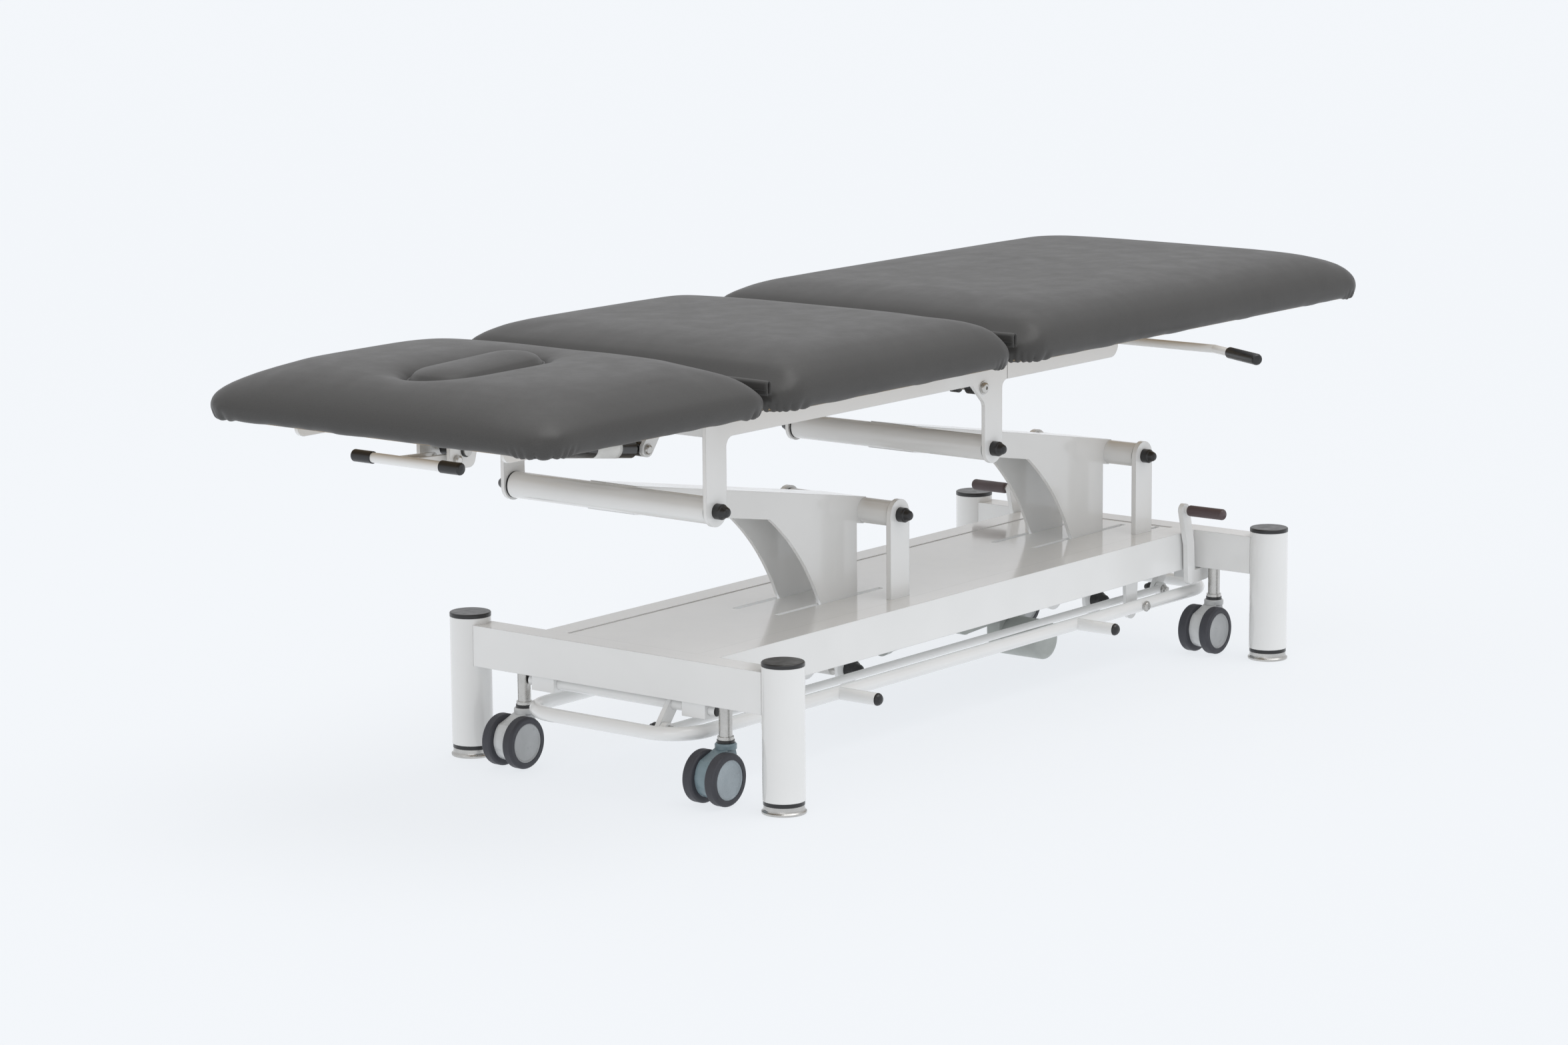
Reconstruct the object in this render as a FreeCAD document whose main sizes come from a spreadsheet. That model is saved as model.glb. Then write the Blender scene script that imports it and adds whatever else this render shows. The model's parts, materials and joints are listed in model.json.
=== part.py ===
"""Electric examination couch: three-section padded top on a parallelogram lift.

Frame: millimetres, +Z up, +X towards the long (leg or back) section, origin on the
floor under the middle of the couch.  The couch stands on four levelling feet.
"""
import FreeCAD, Part
import math
import os

os.makedirs("parts", exist_ok=True)
V3 = FreeCAD.Vector
doc = FreeCAD.newDocument("examination_couch")

# ---------------------------------------------------------------- dimensions
sheet = doc.addObject("Spreadsheet::Sheet", "Dims")
DIMS = [
    ("post_radius", 30.0, "leg post outer radius"),
    ("post_wall", 2.5, "leg post wall"),
    ("post_tube_len", 188.0, "leg post tube length"),
    ("post_half_x", 621.4, "half spacing of posts along the couch"),
    ("post_half_y", 288.0, "half spacing of posts across the couch"),
    ("base_mid_x", 126.5, "base centre from couch centre"),
    ("beam_high", 60.0, "base box section height"),
    ("beam_deep", 40.0, "base box section width"),
    ("beam_wall", 2.5, "base box section wall"),
    ("beam_low_z", 137.0, "underside of base frame"),
    ("rail_inner_y", 120.0, "side rail inner face"),
    ("rail_len", 1202.8, "side rail length"),
    ("deck_thick", 3.0, "deck sheet thickness"),
    ("deck_half_w", 119.5, "deck half width"),
    ("pivot_z", 321.0, "base pivot height"),
    ("pivot_head_x", 13.5, "head arm base pivot"),
    ("arm_pitch", 648.5, "distance between the two arms"),
    ("arm_run", 525.0, "arm horizontal run at rest"),
    ("arm_rise", 90.0, "arm vertical rise at rest"),
    ("tube_radius", 19.0, "pivot tube outer radius"),
    ("tube_bore", 16.0, "pivot tube inner radius"),
    ("hanger_half", 179.0, "hanger tube half length"),
    ("base_tube_half", 96.0, "base pivot tube half length"),
    ("arm_beam_w", 84.0, "arm box beam width"),
    ("arm_beam_high", 40.0, "arm box beam height"),
    ("crank_plate", 6.0, "crank plate thickness"),
    ("pin_radius", 8.0, "pivot pin radius"),
    ("pin_clear", 0.05, "running clearance on the radius"),
    ("upright_thick", 8.0, "base upright thickness"),
    ("side_plate", 6.0, "top frame side plate thickness"),
    ("board_thick", 12.0, "plywood board thickness"),
    ("pad_half_w", 315.5, "half width of the pads"),
    ("pad_high", 74.0, "pad depth including board"),
    ("pad_corner", 50.0, "pad corner radius in plan"),
    ("pad_half_len", 1004.5, "half length of the padded top"),
    ("wheel_radius", 37.5, "castor wheel radius"),
    ("wheel_wide", 19.0, "castor wheel width"),
    ("stem_radius", 9.5, "castor stem radius"),
    ("stem_y", 186.0, "castor stem from centre line"),
    ("bar_radius", 10.0, "foot bar tube radius"),
    ("bar_wall", 2.0, "foot bar tube wall"),
    ("bar_half_y", 150.0, "foot bar from centre line"),
    ("bar_z", 95.0, "foot bar height"),
    ("bar_bend", 60.0, "foot bar bend radius"),
    ("shaft_radius", 7.5, "castor lift shaft radius"),
    ("spring_radius", 14.0, "gas spring cylinder radius"),
    ("rod_radius", 5.0, "gas spring rod radius"),
    ("lever_radius", 6.5, "leg section lever rod radius"),
    ("tbar_radius", 7.0, "head lever bar radius"),
]
D = {}
for i, (alias, value, note) in enumerate(DIMS):
    row = i + 1
    sheet.set(f"A{row}", alias)
    sheet.set(f"B{row}", repr(value))
    sheet.set(f"C{row}", note)
    sheet.setAlias(f"B{row}", alias)
    D[alias] = value
doc.recompute()

XH = D["base_mid_x"] - D["post_half_x"]  # head end posts, beam, castors
XF = D["base_mid_x"] + D["post_half_x"]  # foot end
PZ = D["pivot_z"]
PXH = D["pivot_head_x"]
PXF = PXH + D["arm_pitch"]
HGX, HGZ = -D["arm_run"], D["arm_rise"]
PY, PX2 = D["post_half_y"], (XH, XF)
HEAD_AX, FOOT_AX, HZ = -524.5, 45.0, 573.0  # section hinge axes
OUT = []  # final sub-parts


def size(obj, prop, val):
    """Binds a property to the sheet when val is an expression, else sets it."""
    if isinstance(val, str):
        obj.setExpression(prop, val)
    else:
        setattr(obj, prop, float(val))


def box(name, L, W, H, x, y, z):
    o = doc.addObject("Part::Box", name)
    for p, v in (("Length", L), ("Width", W), ("Height", H)):
        size(o, p, v)
    o.Placement = FreeCAD.Placement(V3(x, y, z), FreeCAD.Rotation())
    return o


AX = {"x": V3(1, 0, 0), "y": V3(0, 1, 0), "z": V3(0, 0, 1)}


def cyl(name, R, H, p, axis="z"):
    o = doc.addObject("Part::Cylinder", name)
    size(o, "Radius", R)
    size(o, "Height", H)
    a = AX[axis] if isinstance(axis, str) else V3(*axis)
    o.Placement = FreeCAD.Placement(V3(*p), FreeCAD.Rotation(V3(0, 0, 1), a))
    return o


def cone(name, R1, R2, H, p, axis="z"):
    o = doc.addObject("Part::Cone", name)
    size(o, "Radius1", R1)
    size(o, "Radius2", R2)
    size(o, "Height", H)
    a = AX[axis] if isinstance(axis, str) else V3(*axis)
    o.Placement = FreeCAD.Placement(V3(*p), FreeCAD.Rotation(V3(0, 0, 1), a))
    return o


def torus(name, R1, R2, p, rot_deg, sweep):
    o = doc.addObject("Part::Torus", name)
    size(o, "Radius1", R1)
    size(o, "Radius2", R2)
    o.Angle3 = sweep
    o.Placement = FreeCAD.Placement(V3(*p), FreeCAD.Rotation(V3(0, 0, 1), rot_deg))
    return o


def fuse(name, objs, refine=True):
    o = doc.addObject("Part::MultiFuse", name)
    o.Shapes = objs
    o.Refine = refine
    return o


def cut(name, base, tools):
    tool = tools[0] if len(tools) == 1 else fuse(name + "_tools", tools, False)
    o = doc.addObject("Part::Cut", name)
    o.Base = base
    o.Tool = tool
    return o


def common(name, objs):
    o = doc.addObject("Part::MultiCommon", name)
    o.Shapes = objs
    return o


def group(name, objs):
    o = doc.addObject("Part::Compound", name)
    o.Links = objs
    return o


def part(obj, node):
    obj.Label = node
    OUT.append(obj)
    return obj


def origin_plane(body, role):
    return [f for f in body.Origin.OriginFeatures if f.Role == role][0]


def curve(sk, pts, construction=False):
    """pts: (x, y) corners, or (x, y, mx, my) for an arc that reaches x, y through mx, my."""
    ends = [V3(p[0], p[1], 0) for p in pts]
    for i, p in enumerate(pts):
        a, b = ends[i - 1], ends[i]
        if len(p) == 4:
            sk.addGeometry(Part.Arc(a, V3(p[2], p[3], 0), b), construction)
        else:
            sk.addGeometry(Part.LineSegment(a, b), construction)


def pad(name, pts, thick, at, plane="XZ_Plane", holes=()):
    """A plate: sketch on a body's own origin plane, padded evenly both ways.
    XZ: sketch (x, z), thickness along y.  YZ: sketch (y, z), along x.  XY: sketch (x, y), along z."""
    body = doc.addObject("PartDesign::Body", name)
    sk = body.newObject("Sketcher::SketchObject", name + "_sketch")
    sk.AttachmentSupport = [(origin_plane(body, plane), "")]
    sk.MapMode = "FlatFace"
    curve(sk, pts)
    for hx, hy, hr in holes:
        n = sk.addGeometry(Part.Circle(V3(hx, hy, 0), V3(0, 0, 1), 1.0 if isinstance(hr, str) else hr))
        c = sk.addConstraint(__import__("Sketcher").Constraint("Radius", n, 1.0 if isinstance(hr, str) else hr))
        if isinstance(hr, str):
            sk.setExpression(f"Constraints[{c}]", hr)
        sk.addConstraint(__import__("Sketcher").Constraint("DistanceX", -1, 1, n, 3, hx))
        sk.addConstraint(__import__("Sketcher").Constraint("DistanceY", -1, 1, n, 3, hy))
    p = body.newObject("PartDesign::Pad", name + "_pad")
    p.Profile = sk
    size(p, "Length", thick)
    p.Midplane = True
    body.Tip = p
    body.Placement = FreeCAD.Placement(V3(*at), FreeCAD.Rotation())
    return body


def spin(name, prof, p, axis="z"):
    """A turned piece: sketch (radius, height) on the body's XZ plane, revolved about its Z axis."""
    body = doc.addObject("PartDesign::Body", name)
    sk = body.newObject("Sketcher::SketchObject", name + "_sketch")
    sk.AttachmentSupport = [(origin_plane(body, "XZ_Plane"), "")]
    sk.MapMode = "FlatFace"
    curve(sk, prof)
    r = body.newObject("PartDesign::Revolution", name + "_turn")
    r.Profile = sk
    r.ReferenceAxis = (sk, ["V_Axis"])
    r.Angle = 360.0
    body.Tip = r
    a = AX[axis] if isinstance(axis, str) else V3(*axis)
    body.Placement = FreeCAD.Placement(V3(*p), FreeCAD.Rotation(V3(0, 0, 1), a))
    return body


def both(fn):
    return [fn(-1, "near"), fn(1, "far")]


def round_plate(a, b, r):
    """Outline of a flat bar with round ends from a to b."""
    dx, dy = b[0] - a[0], b[1] - a[1]
    n = math.hypot(dx, dy)
    ux, uy = dx / n, dy / n
    nx, ny = -uy, ux
    return [
        (a[0] + nx * r, a[1] + ny * r),
        (b[0] + nx * r, b[1] + ny * r),
        (b[0] - nx * r, b[1] - ny * r, b[0] + ux * r, b[1] + uy * r),
        (a[0] - nx * r, a[1] - ny * r),
        (a[0] + nx * r, a[1] + ny * r, a[0] - ux * r, a[1] - uy * r),
    ][1:]


# ---------------------------------------------------------------- base frame
posts = []
for i, x in enumerate(PX2):
    for s, n in ((-1, "near"), (1, "far")):
        o = cyl(f"post_o{i}{n}", "Dims.post_radius", "Dims.post_tube_len", (x, s * PY, 18))
        b = cyl(f"post_b{i}{n}", "Dims.post_radius - Dims.post_wall", 200, (x, s * PY, 12))
        posts.append(cut(f"post_{i}{n}", o, [b]))
part(group("g_posts", posts), "leg_posts")

caps = []
for i, x in enumerate(PX2):
    for s, n in ((-1, "near"), (1, "far")):
        caps.append(spin(f"post_cap{i}{n}", [(0, 194), (27.5, 194), (27.5, 206), (30.2, 206), (30.2, 209.6), (28.0, 212, 29.6, 211.4), (0, 212)], (x, s * PY, 0)))
        # black ring insert with the threaded bore of the levelling foot
        caps.append(spin(f"post_ring{i}{n}", [(6.05, 12), (29.0, 12), (29.0, 18), (27.5, 18), (27.5, 34), (6.05, 34)], (x, s * PY, 0)))
part(group("g_post_caps", caps), "post_caps")

for i, x in enumerate(PX2):
    for s, n in ((-1, "near"), (1, "far")):
        f = spin(f"lev_foot{i}{n}", [(0, 0), (30.6, 0), (31.4, 1.2, 31.2, 0.4), (31.4, 3.0), (29.6, 4.4), (28.6, 7.2, 28.9, 5.6), (28.4, 12), (6.0, 12), (6.0, 62), (0, 62)], (x, s * PY, 0))
        part(f, f"levelling_foot_{('head', 'foot')[i]}_{n}")

BZ, BH, BW, WL = D["beam_low_z"], D["beam_high"], D["beam_deep"], D["beam_wall"]
beams = []
for i, x in enumerate(PX2):
    o = box(f"beam_o{i}", "Dims.beam_deep", 2 * PY, "Dims.beam_high", x - BW / 2, -PY, BZ)
    h = box(f"beam_h{i}", "Dims.beam_deep - 2 * Dims.beam_wall", 2 * PY + 2, "Dims.beam_high - 2 * Dims.beam_wall", x - BW / 2 + WL, -PY - 1, BZ + WL)
    t = [h]
    for s, n in ((-1, "near"), (1, "far")):
        t.append(cyl(f"beam_cope{i}{n}", "Dims.post_radius", 80, (x, s * PY, BZ - 10)))
        t.append(cyl(f"beam_stem{i}{n}", "Dims.stem_radius + Dims.pin_clear", 10, (x, s * D["stem_y"], BZ - 4)))
    beams.append(cut(f"beam_{i}", o, t))

rails = []
for s, n in ((-1, "near"), (1, "far")):
    y0 = D["rail_inner_y"] if s > 0 else -D["rail_inner_y"] - BW
    o = box(f"rail_o{n}", "Dims.rail_len", "Dims.beam_deep", "Dims.beam_high", XH + 20, y0, BZ)
    h = box(f"rail_h{n}", D["rail_len"] - 2, "Dims.beam_deep - 2 * Dims.beam_wall", "Dims.beam_high - 2 * Dims.beam_wall", XH + 21, y0 + WL, BZ + WL)
    rails.append(cut(f"rail_{n}", o, [h]))
part(group("g_rails", rails), "side_rails")

dk = box("deck_o", "Dims.rail_len", "2 * Dims.deck_half_w", "Dims.deck_thick", XH + 20, -D["deck_half_w"], 193)
t = []
for k, px in enumerate((PXH, PXF)):
    for s, n in ((-1, "near"), (1, "far")):
        t.append(box(f"deck_slot{k}{n}", 253, 10, 8, px - 209, s * 39 - 5, 190))
        t.append(box(f"deck_notch{k}{n}", 46.4, 8.4, 8, px - 23.2, s * 103 - 4.2, 190))
t.append(box("deck_slot_small", 30, 8, 8, 690, -100, 190))
part(cut("deck_sheet", dk, t), "deck_plate")

ups = []
for k, px in enumerate((PXH, PXF)):
    for s, n in ((-1, "near"), (1, "far")):
        p = pad(f"upright{k}{n}", [(-23, -181), (23, -181), (23, 0), (-23, 0, 0, 23)], "Dims.upright_thick", (px, s * 103, PZ), holes=[(0, 0, "Dims.pin_radius")])
        w = box(f"upright_foot{k}{n}", 40, 13, 48, px - 20, 107 if s > 0 else -120, 142)
        ups.append(fuse(f"upright_w{k}{n}", [p, w]))
part(group("g_uprights", ups), "pivot_uprights")

CAP = [(0, 0), (11, 0), (11, 10.5), (10.2, 12.0), (9.2, 12.6), (7.4, 17.5), (4.2, 21.4, 6.2, 19.8), (0, 22.4)]


def cap(name, x, y, z, s, scale=1.0):
    return spin(name, [tuple(v * scale for v in p) for p in CAP], (x, y, z), (0, s, 0))


bolts = []
for k, px in enumerate((PXH, PXF)):
    sh = cyl(f"base_shaft{k}", "Dims.pin_radius", 218, (px, -109, PZ), "y")
    c = [cap(f"base_cap{k}{n}", px, s * 107, PZ, s) for s, n in ((-1, "near"), (1, "far"))]
    bolts.append(fuse(f"base_bolt{k}", [sh] + c))
part(group("g_base_bolts", bolts), "base_pivot_bolts")

blocks = []
for i, x in enumerate(PX2):
    for s, n in ((-1, "near"), (1, "far")):
        o = box(f"bearing_o{i}{n}", 25, 42, 22, x - 12.5, 118 if s > 0 else -160, 115)
        b = cyl(f"bearing_b{i}{n}", "Dims.shaft_radius + Dims.pin_clear", 60, (x, 109 if s > 0 else -169, 126), "y")
        blocks.append(cut(f"bearing_{i}{n}", o, [b]))
part(group("g_beams", beams + blocks), "end_beams")

RX, RZ = 505.0, 118.0  # rear pivot of the lift actuator
ear = [pad(f"act_ear{n}", [(-26, 75), (-13, 0), (13, 0, 0, -13), (26, 75)], 6, (RX, s * 19, RZ)) for s, n in ((-1, "near"), (1, "far"))]
act_pin = cyl("act_rear_pin", 6, 48, (RX, -24, RZ), "y")
act_pl = box("act_plate", 64, 60, 6, RX - 32, -30, 187)
act_bracket = fuse("g_act_bracket", ear + [act_pin, act_pl])

brk, bar_bolts = [], []
for x in (-336.0, 589.0):
    for s, n in ((-1, "near"), (1, "far")):
        k = f"{int(abs(x))}{n}"
        q = pad(f"bar_hanger{k}", [(-17, 42), (-15, 0), (-15, -8), (15, -8, 0, -23), (15, 0), (17, 42)], 6, (x, s * 131, 95))
        sl = pad(f"bar_slot{k}", round_plate((0, 0), (0, -6), 4.1), 10, (x, s * 131, 95))
        brk.append(cut(f"bar_bracket{k}", q, [sl]))
        b = cyl(f"bar_bolt{k}", 4, 36, (x, 126 if s > 0 else -162, 95), "y")
        h = spin(f"bar_bolt_head{k}", [(0, 0), (8.5, 0), (8.5, 1.6), (7.5, 1.6), (4.0, 5.4, 6.4, 4.2), (0, 5.4)], (x, s * 161.4, 95), (0, s, 0))
        bar_bolts.append(fuse(f"bar_bolt_w{k}", [b, h]))
part(group("g_bar_brackets", brk + [act_bracket]), "under_brackets")
part(group("g_bar_bolts", bar_bolts), "bar_bolts")


# ---------------------------------------------------------------- lift arms
def arm(tag, px):
    L = math.hypot(D["arm_run"], D["arm_rise"])
    a = math.degrees(math.atan2(D["arm_rise"], D["arm_run"]))
    ht = cyl(f"{tag}_ht", "Dims.tube_radius", "2 * Dims.hanger_half", (px + HGX, -D["hanger_half"], PZ + HGZ), "y")
    hb = cyl(f"{tag}_hb", "Dims.tube_bore", 400, (px + HGX, -200, PZ + HGZ), "y")
    bt = cyl(f"{tag}_bt", "Dims.tube_radius", "2 * Dims.base_tube_half", (px, -D["base_tube_half"], PZ), "y")
    bb = cyl(f"{tag}_bb", "Dims.tube_bore", 220, (px, -110, PZ), "y")
    bo = box(f"{tag}_bo", L, "Dims.arm_beam_w", "Dims.arm_beam_high", 0, -42, -20)
    bi = box(f"{tag}_bi", L - 60, "Dims.arm_beam_w - 6", "Dims.arm_beam_high - 6", 0, -39, -17)
    rot = FreeCAD.Rotation(V3(0, 1, 0), 180 + a)
    bo.Placement = FreeCAD.Placement(V3(px, 0, PZ) + rot.multVec(V3(0, -42, -20)), rot)
    bi.Placement = FreeCAD.Placement(V3(px, 0, PZ) + rot.multVec(V3(30, -39, -17)), rot)
    outline = [(-234, 24), (-112, -116, -164, -38),
               (-79, -190, -93, -152), (-68, -234, -71, -212), (-16, -234, -42, -260), (-20, -208), (-20, -14)]
    pl = [pad(f"{tag}_crank{n}", outline, "Dims.crank_plate", (px, s * 39, PZ), holes=[(-42, -234, "Dims.pin_radius")]) for s, n in ((-1, "near"), (1, "far"))]
    body = fuse(f"{tag}_weld", [ht, bt, bo] + pl, True)
    return cut(f"{tag}_arm", body, [hb, bb, bi])


def bushes(tag, px):
    """Nylon bushes of both tubes and the capped stub pins of the crank plates."""
    out = []
    for s, n in ((-1, "near"), (1, "far")):
        out.append(spin(f"{tag}_bh{n}", [(8.05, 0), (16, 0), (16, 20), (19, 20), (19, 22.9), (8.05, 22.9)], (px + HGX, s * 159, PZ + HGZ), (0, s, 0)))
        out.append(spin(f"{tag}_bb{n}", [(8.05, 0), (16, 0), (16, 20), (19, 20), (19, 22.9), (8.05, 22.9)], (px, s * 76, PZ), (0, s, 0)))
    for s, n in ((-1, "near"), (1, "far")):
        st = cyl(f"{tag}_stub{n}", "Dims.pin_radius", 20.5, (px - 42, 24.5 if s > 0 else -45, PZ - 234), "y")
        out.append(fuse(f"{tag}_pin{n}", [st, cap(f"{tag}_pc{n}", px - 42, s * 42, PZ - 234, s, 1.2)]))
    return group(f"{tag}_bushes", out)


for tag, px in (("head", PXH), ("foot", PXF)):
    part(arm(f"arm{tag}", px), f"arm_{tag}")
    part(bushes(f"arm{tag}", px), f"arm_{tag}_bushes")

P_ = D["arm_pitch"]
lb = pad("link_bar", round_plate((0, 0), (P_, 0), 13.0), 10, (PXH - 42, 30, PZ - 234), holes=[(0, 0, "Dims.pin_radius + Dims.pin_clear"), (P_, 0, "Dims.pin_radius + Dims.pin_clear")])
part(lb, "crank_link")

# ---------------------------------------------------------------- lift actuator
CX, CZ = PXH - 42, PZ - 234  # head crank pin
AL = math.hypot(CX - RX, CZ - RZ)
ad = ((CX - RX) / AL, 0, (CZ - RZ) / AL)


def on_act(t):
    return (RX + ad[0] * t, 0, RZ + ad[2] * t)


hous = pad("act_housing", [(470, 136), (474, 130, 473, 133.6), (474, 100), (466, 93, 471.6, 95.4), (300, 83), (276, 89, 286, 83.4), (270, 96), (270, 116), (276, 122), (300, 128)], 40, (0, -5, 0))
saddle = pad("act_gear", [(386, 100), (386, 66), (394, 40), (448, 40), (456, 66), (456, 100)], 24, (0, -10, 0))
eye = cyl("act_eye", 13, 30, (RX, -15, RZ), "y")
neck = cyl("act_neck", 11, 34, on_act(6), ad)
tube = cyl("act_tube", 16, 366, on_act(34), ad)
nose = cyl("act_nose", 17.5, 14, on_act(386), ad)
motor_room = cyl("act_motor_room", 31, 92, (421, -92, 60), "y")
ab = cyl("act_bore", "Dims.rod_radius * 2 + Dims.pin_clear", 345, on_act(60), ad)
eb = cyl("act_eye_bore", "6 + Dims.pin_clear", 60, (RX, -30, RZ), "y")
part(cut("act_body", fuse("act_weld", [hous, saddle, eye, neck, tube, nose]), [ab, eb, motor_room]), "actuator_body")
part(spin("act_motor", [(0, 0), (31, 0), (31, 82), (29.4, 87, 30.5, 85.2), (26, 89), (24, 90), (0, 90)], (421, 0, 60), (0, -1, 0)), "actuator_motor")
rod = cyl("act_rod", "Dims.rod_radius * 2", AL - 215 - 4, on_act(215), ad)
reye = cyl("act_rod_eye", 13, 28, (CX, -14, CZ), "y")
rpin = cyl("act_rod_pin", 6, 40, (CX, -20, CZ), "y")
part(fuse("act_rod_w", [rod, reye, rpin]), "actuator_rod")

# ---------------------------------------------------------------- top frame
plates = []
HA, HB = PXH + HGX, PXF + HGX
HPZ = PZ + HGZ
side_outline = [
    (171.5, 558), (171.5, 511), (HB + 22, 498.5, 162.6, 507.4), (HB + 22, HPZ), (HB - 22, HPZ, HB, HPZ - 22),
    (HB - 22, 476), (HB - 25, 484, HB - 23, 480.4), (84, 511), (HA + 36, 511), (HA + 22, 497, HA + 26.1, 506.9),
    (HA + 22, HPZ), (HA - 22, HPZ, HA, HPZ - 22), (HA - 22, 545), (HEAD_AX - 1.5, 550.5), (HEAD_AX - 1.5, 558),
]
for s, n in ((-1, "near"), (1, "far")):
    plates.append(pad(f"side_plate{n}", side_outline, "Dims.side_plate", (0, s * 185, 0), holes=[(HA, HPZ, "Dims.pin_radius"), (HB, HPZ, "Dims.pin_radius"), (111.5, 505, 5.0)]))
part(group("g_side_plates", plates), "top_side_plates")


def eye_plate(name, ax, y, outline, r=7.0):
    return pad(name, [(ax + p[0], HZ + p[1]) if len(p) == 2 else (ax + p[0], HZ + p[1], ax + p[2], HZ + p[3]) for p in outline], 6, (0, y, 0), holes=[(ax, HZ, 4.0)])


w = []
t1 = box("t1", 36, 364, 47, HEAD_AX + 13.5, -182, 511)
t1n = box("t1_notch", 40, 44, 35, HEAD_AX + 11.5, -22, 510)
w.append(cut("t1_tube", t1, [t1n]))
w.append(box("t1b", 30, 364, 35, -425, -182, 523))
w.append(box("t2", 36, 364, 38, FOOT_AX - 49.5, -182, 520))
hinge_pins = []
for s, n in ((-1, "near"), (1, "far")):
    w.append(eye_plate(f"hinge_h{n}", HEAD_AX, s * 153, [(7, 0, 0, 7), (10.5, -7), (10.5, -15), (14, -15), (14, -50), (6, -50), (-4, -20), (-7, 0)]))
    w.append(eye_plate(f"hinge_f{n}", FOOT_AX, s * 153, [(-7, 0), (7, 0, 0, 7), (4, -20), (-6, -50), (-14, -50), (-14, -15), (-10.5, -15), (-10.5, -7)]))
    for tag, ax in (("h", HEAD_AX), ("f", FOOT_AX)):
        hinge_pins.append(cyl(f"hpin_{tag}{n}", 4.0, 14.5, (ax, 149.5 if s > 0 else -164, HZ), "y"))
ears = [pad(f"ear_{n}", [(-463.4, 468), (-442, 465, -453, 461), (-398, 523), (-425, 523), (-462.5, 477)], 6, (0, s * 12.5, 0)) for s, n in ((-1, "near"), (1, "far"))]
epin = cyl("ear_pin", 5, 32, (-452, -16, 472), "y")
eh = [spin(f"ear_head{n}", [(0, 0), (8, 0), (8, 1.5), (7, 1.5), (4, 5, 6, 4), (0, 5)], (-452, s * 15.5, 472), (0, s, 0)) for s, n in ((-1, "near"), (1, "far"))]
part(fuse("g_cross", w + hinge_pins + ears + [epin] + eh), "top_cross_members")

hb = []
for k, px in enumerate((HA, HB)):
    sh = cyl(f"hang_shaft{k}", "Dims.pin_radius", 380, (px, -190, HPZ), "y")
    hb.append(fuse(f"hang_bolt{k}", [sh] + [cap(f"hang_cap{k}{n}", px, s * 188, HPZ, s) for s, n in ((-1, "near"), (1, "far"))]))
for s, n in ((-1, "near"), (1, "far")):
    hb.append(fuse(f"shaft_bolt{n}", [
        cyl(f"sbolt{n}", 5, 6, (111.5, 182 if s > 0 else -188, 505), "y"),
        spin(f"sbolt_head{n}", [(0, 0), (10, 0), (10, 1.8), (8.2, 1.8), (4.6, 6.2, 7.2, 5.0), (2.6, 6.2), (2.6, 3.2), (0, 3.2)], (111.5, s * 188, 505), (0, s, 0))]))
part(group("g_hanger_bolts", hb), "top_frame_bolts")


part(cyl("anchor_rod", 6, 364, (111.5, -182, 505), "y"), "anchor_shaft")
sp = []
for s, n in ((-1, "near"), (1, "far")):
    sp.append(spin(f"spacer_a{n}", [(6, 0), (10, 0), (11, 1), (11, 21), (10, 22), (6, 22)], (111.5, s * 160, 505), (0, s, 0)))
    sp.append(spin(f"spacer_b{n}", [(6, 0), (10, 0), (11, 1), (11, 14), (10, 15), (6, 15)], (111.5, s * 130, 505), (0, s, 0)))
part(group("g_spacers", sp), "anchor_spacers")


# ---------------------------------------------------------------- boards and pads
def rounded(name, x0, x1, hy, r, z0, thick):
    """Rounded rectangle plate in plan."""
    k = r * (1 - math.sqrt(0.5))
    pts = [(x0 + r, -hy), (x1 - r, -hy), (x1, -hy + r, x1 - k, -hy + k), (x1, hy - r), (x1 - r, hy, x1 - k, hy - k),
           (x0 + r, hy), (x0, hy - r, x0 + k, hy - k), (x0, -hy + r), (x0 + r, -hy, x0 + k, -hy + k)]
    return pad(name, pts[1:], thick, (0, 0, z0), "XY_Plane")


def stadium(name, cx, hl, hw, z0, thick):
    a = hl - hw
    pts = [(cx - a, -hw), (cx + a, -hw), (cx + a, hw, cx + hl, 0), (cx - a, hw), (cx - a, -hw, cx - hl, 0)][1:]
    return pad(name, pts, thick, (0, 0, z0), "XY_Plane")


Z0, ZT = 558.0, 632.0
END = [(12, 558), (0, 575), (6, 596), (28, 618), (62, 628), (115, 632)]  # free end roll-off
JOIN = [(12, 558), (4, 575), (24, 601), (44, 624.5), (62, 629), (100, 632)]  # edge that faces a neighbour
SIDE = [(12, 558), (0, 575), (8, 599), (32, 618), (74, 628.5), (135, 632)]  # long sides of the head pad
FULL = [(12, 558), (0, 575), (5, 601), (20, 618.5), (44, 628.5), (80, 632)]  # long sides of the other two
HOLE_X = -784.0


def cushion(name, x0, x1, left, right, side, board, extra=()):
    """x0, x1: joint planes or free ends; the crowned pad with a pocket for its board."""
    prof = [(x0 + d, z) for d, z in left] + [(x1 - d, z) for d, z in reversed(right)]
    a = pad(name + "_long", prof, 700, (0, 0, 0))
    w_ = D["pad_half_w"]
    b = pad(name + "_cross", [(-w_ + d, z) for d, z in side] + [(w_ - d, z) for d, z in reversed(side)], 3000, (0, 0, 0), "YZ_Plane")
    c = rounded(name + "_plan", x0 + left[1][0], x1 - right[1][0], w_, D["pad_corner"], 595, 90)
    m = common(name + "_crown", [a, b, c])
    return cut(name + "_pad", m, [board] + list(extra))


boards = {}
for nm, x0, x1 in (("head", -1004.5 + 14, HEAD_AX - 14), ("seat", HEAD_AX + 14, FOOT_AX - 14), ("foot", FOOT_AX + 14, 1004.5 - 14)):
    boards[nm] = rounded(f"board_{nm}", x0, x1, D["pad_half_w"] - 14, 40, Z0 + 6, "Dims.board_thick")


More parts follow.
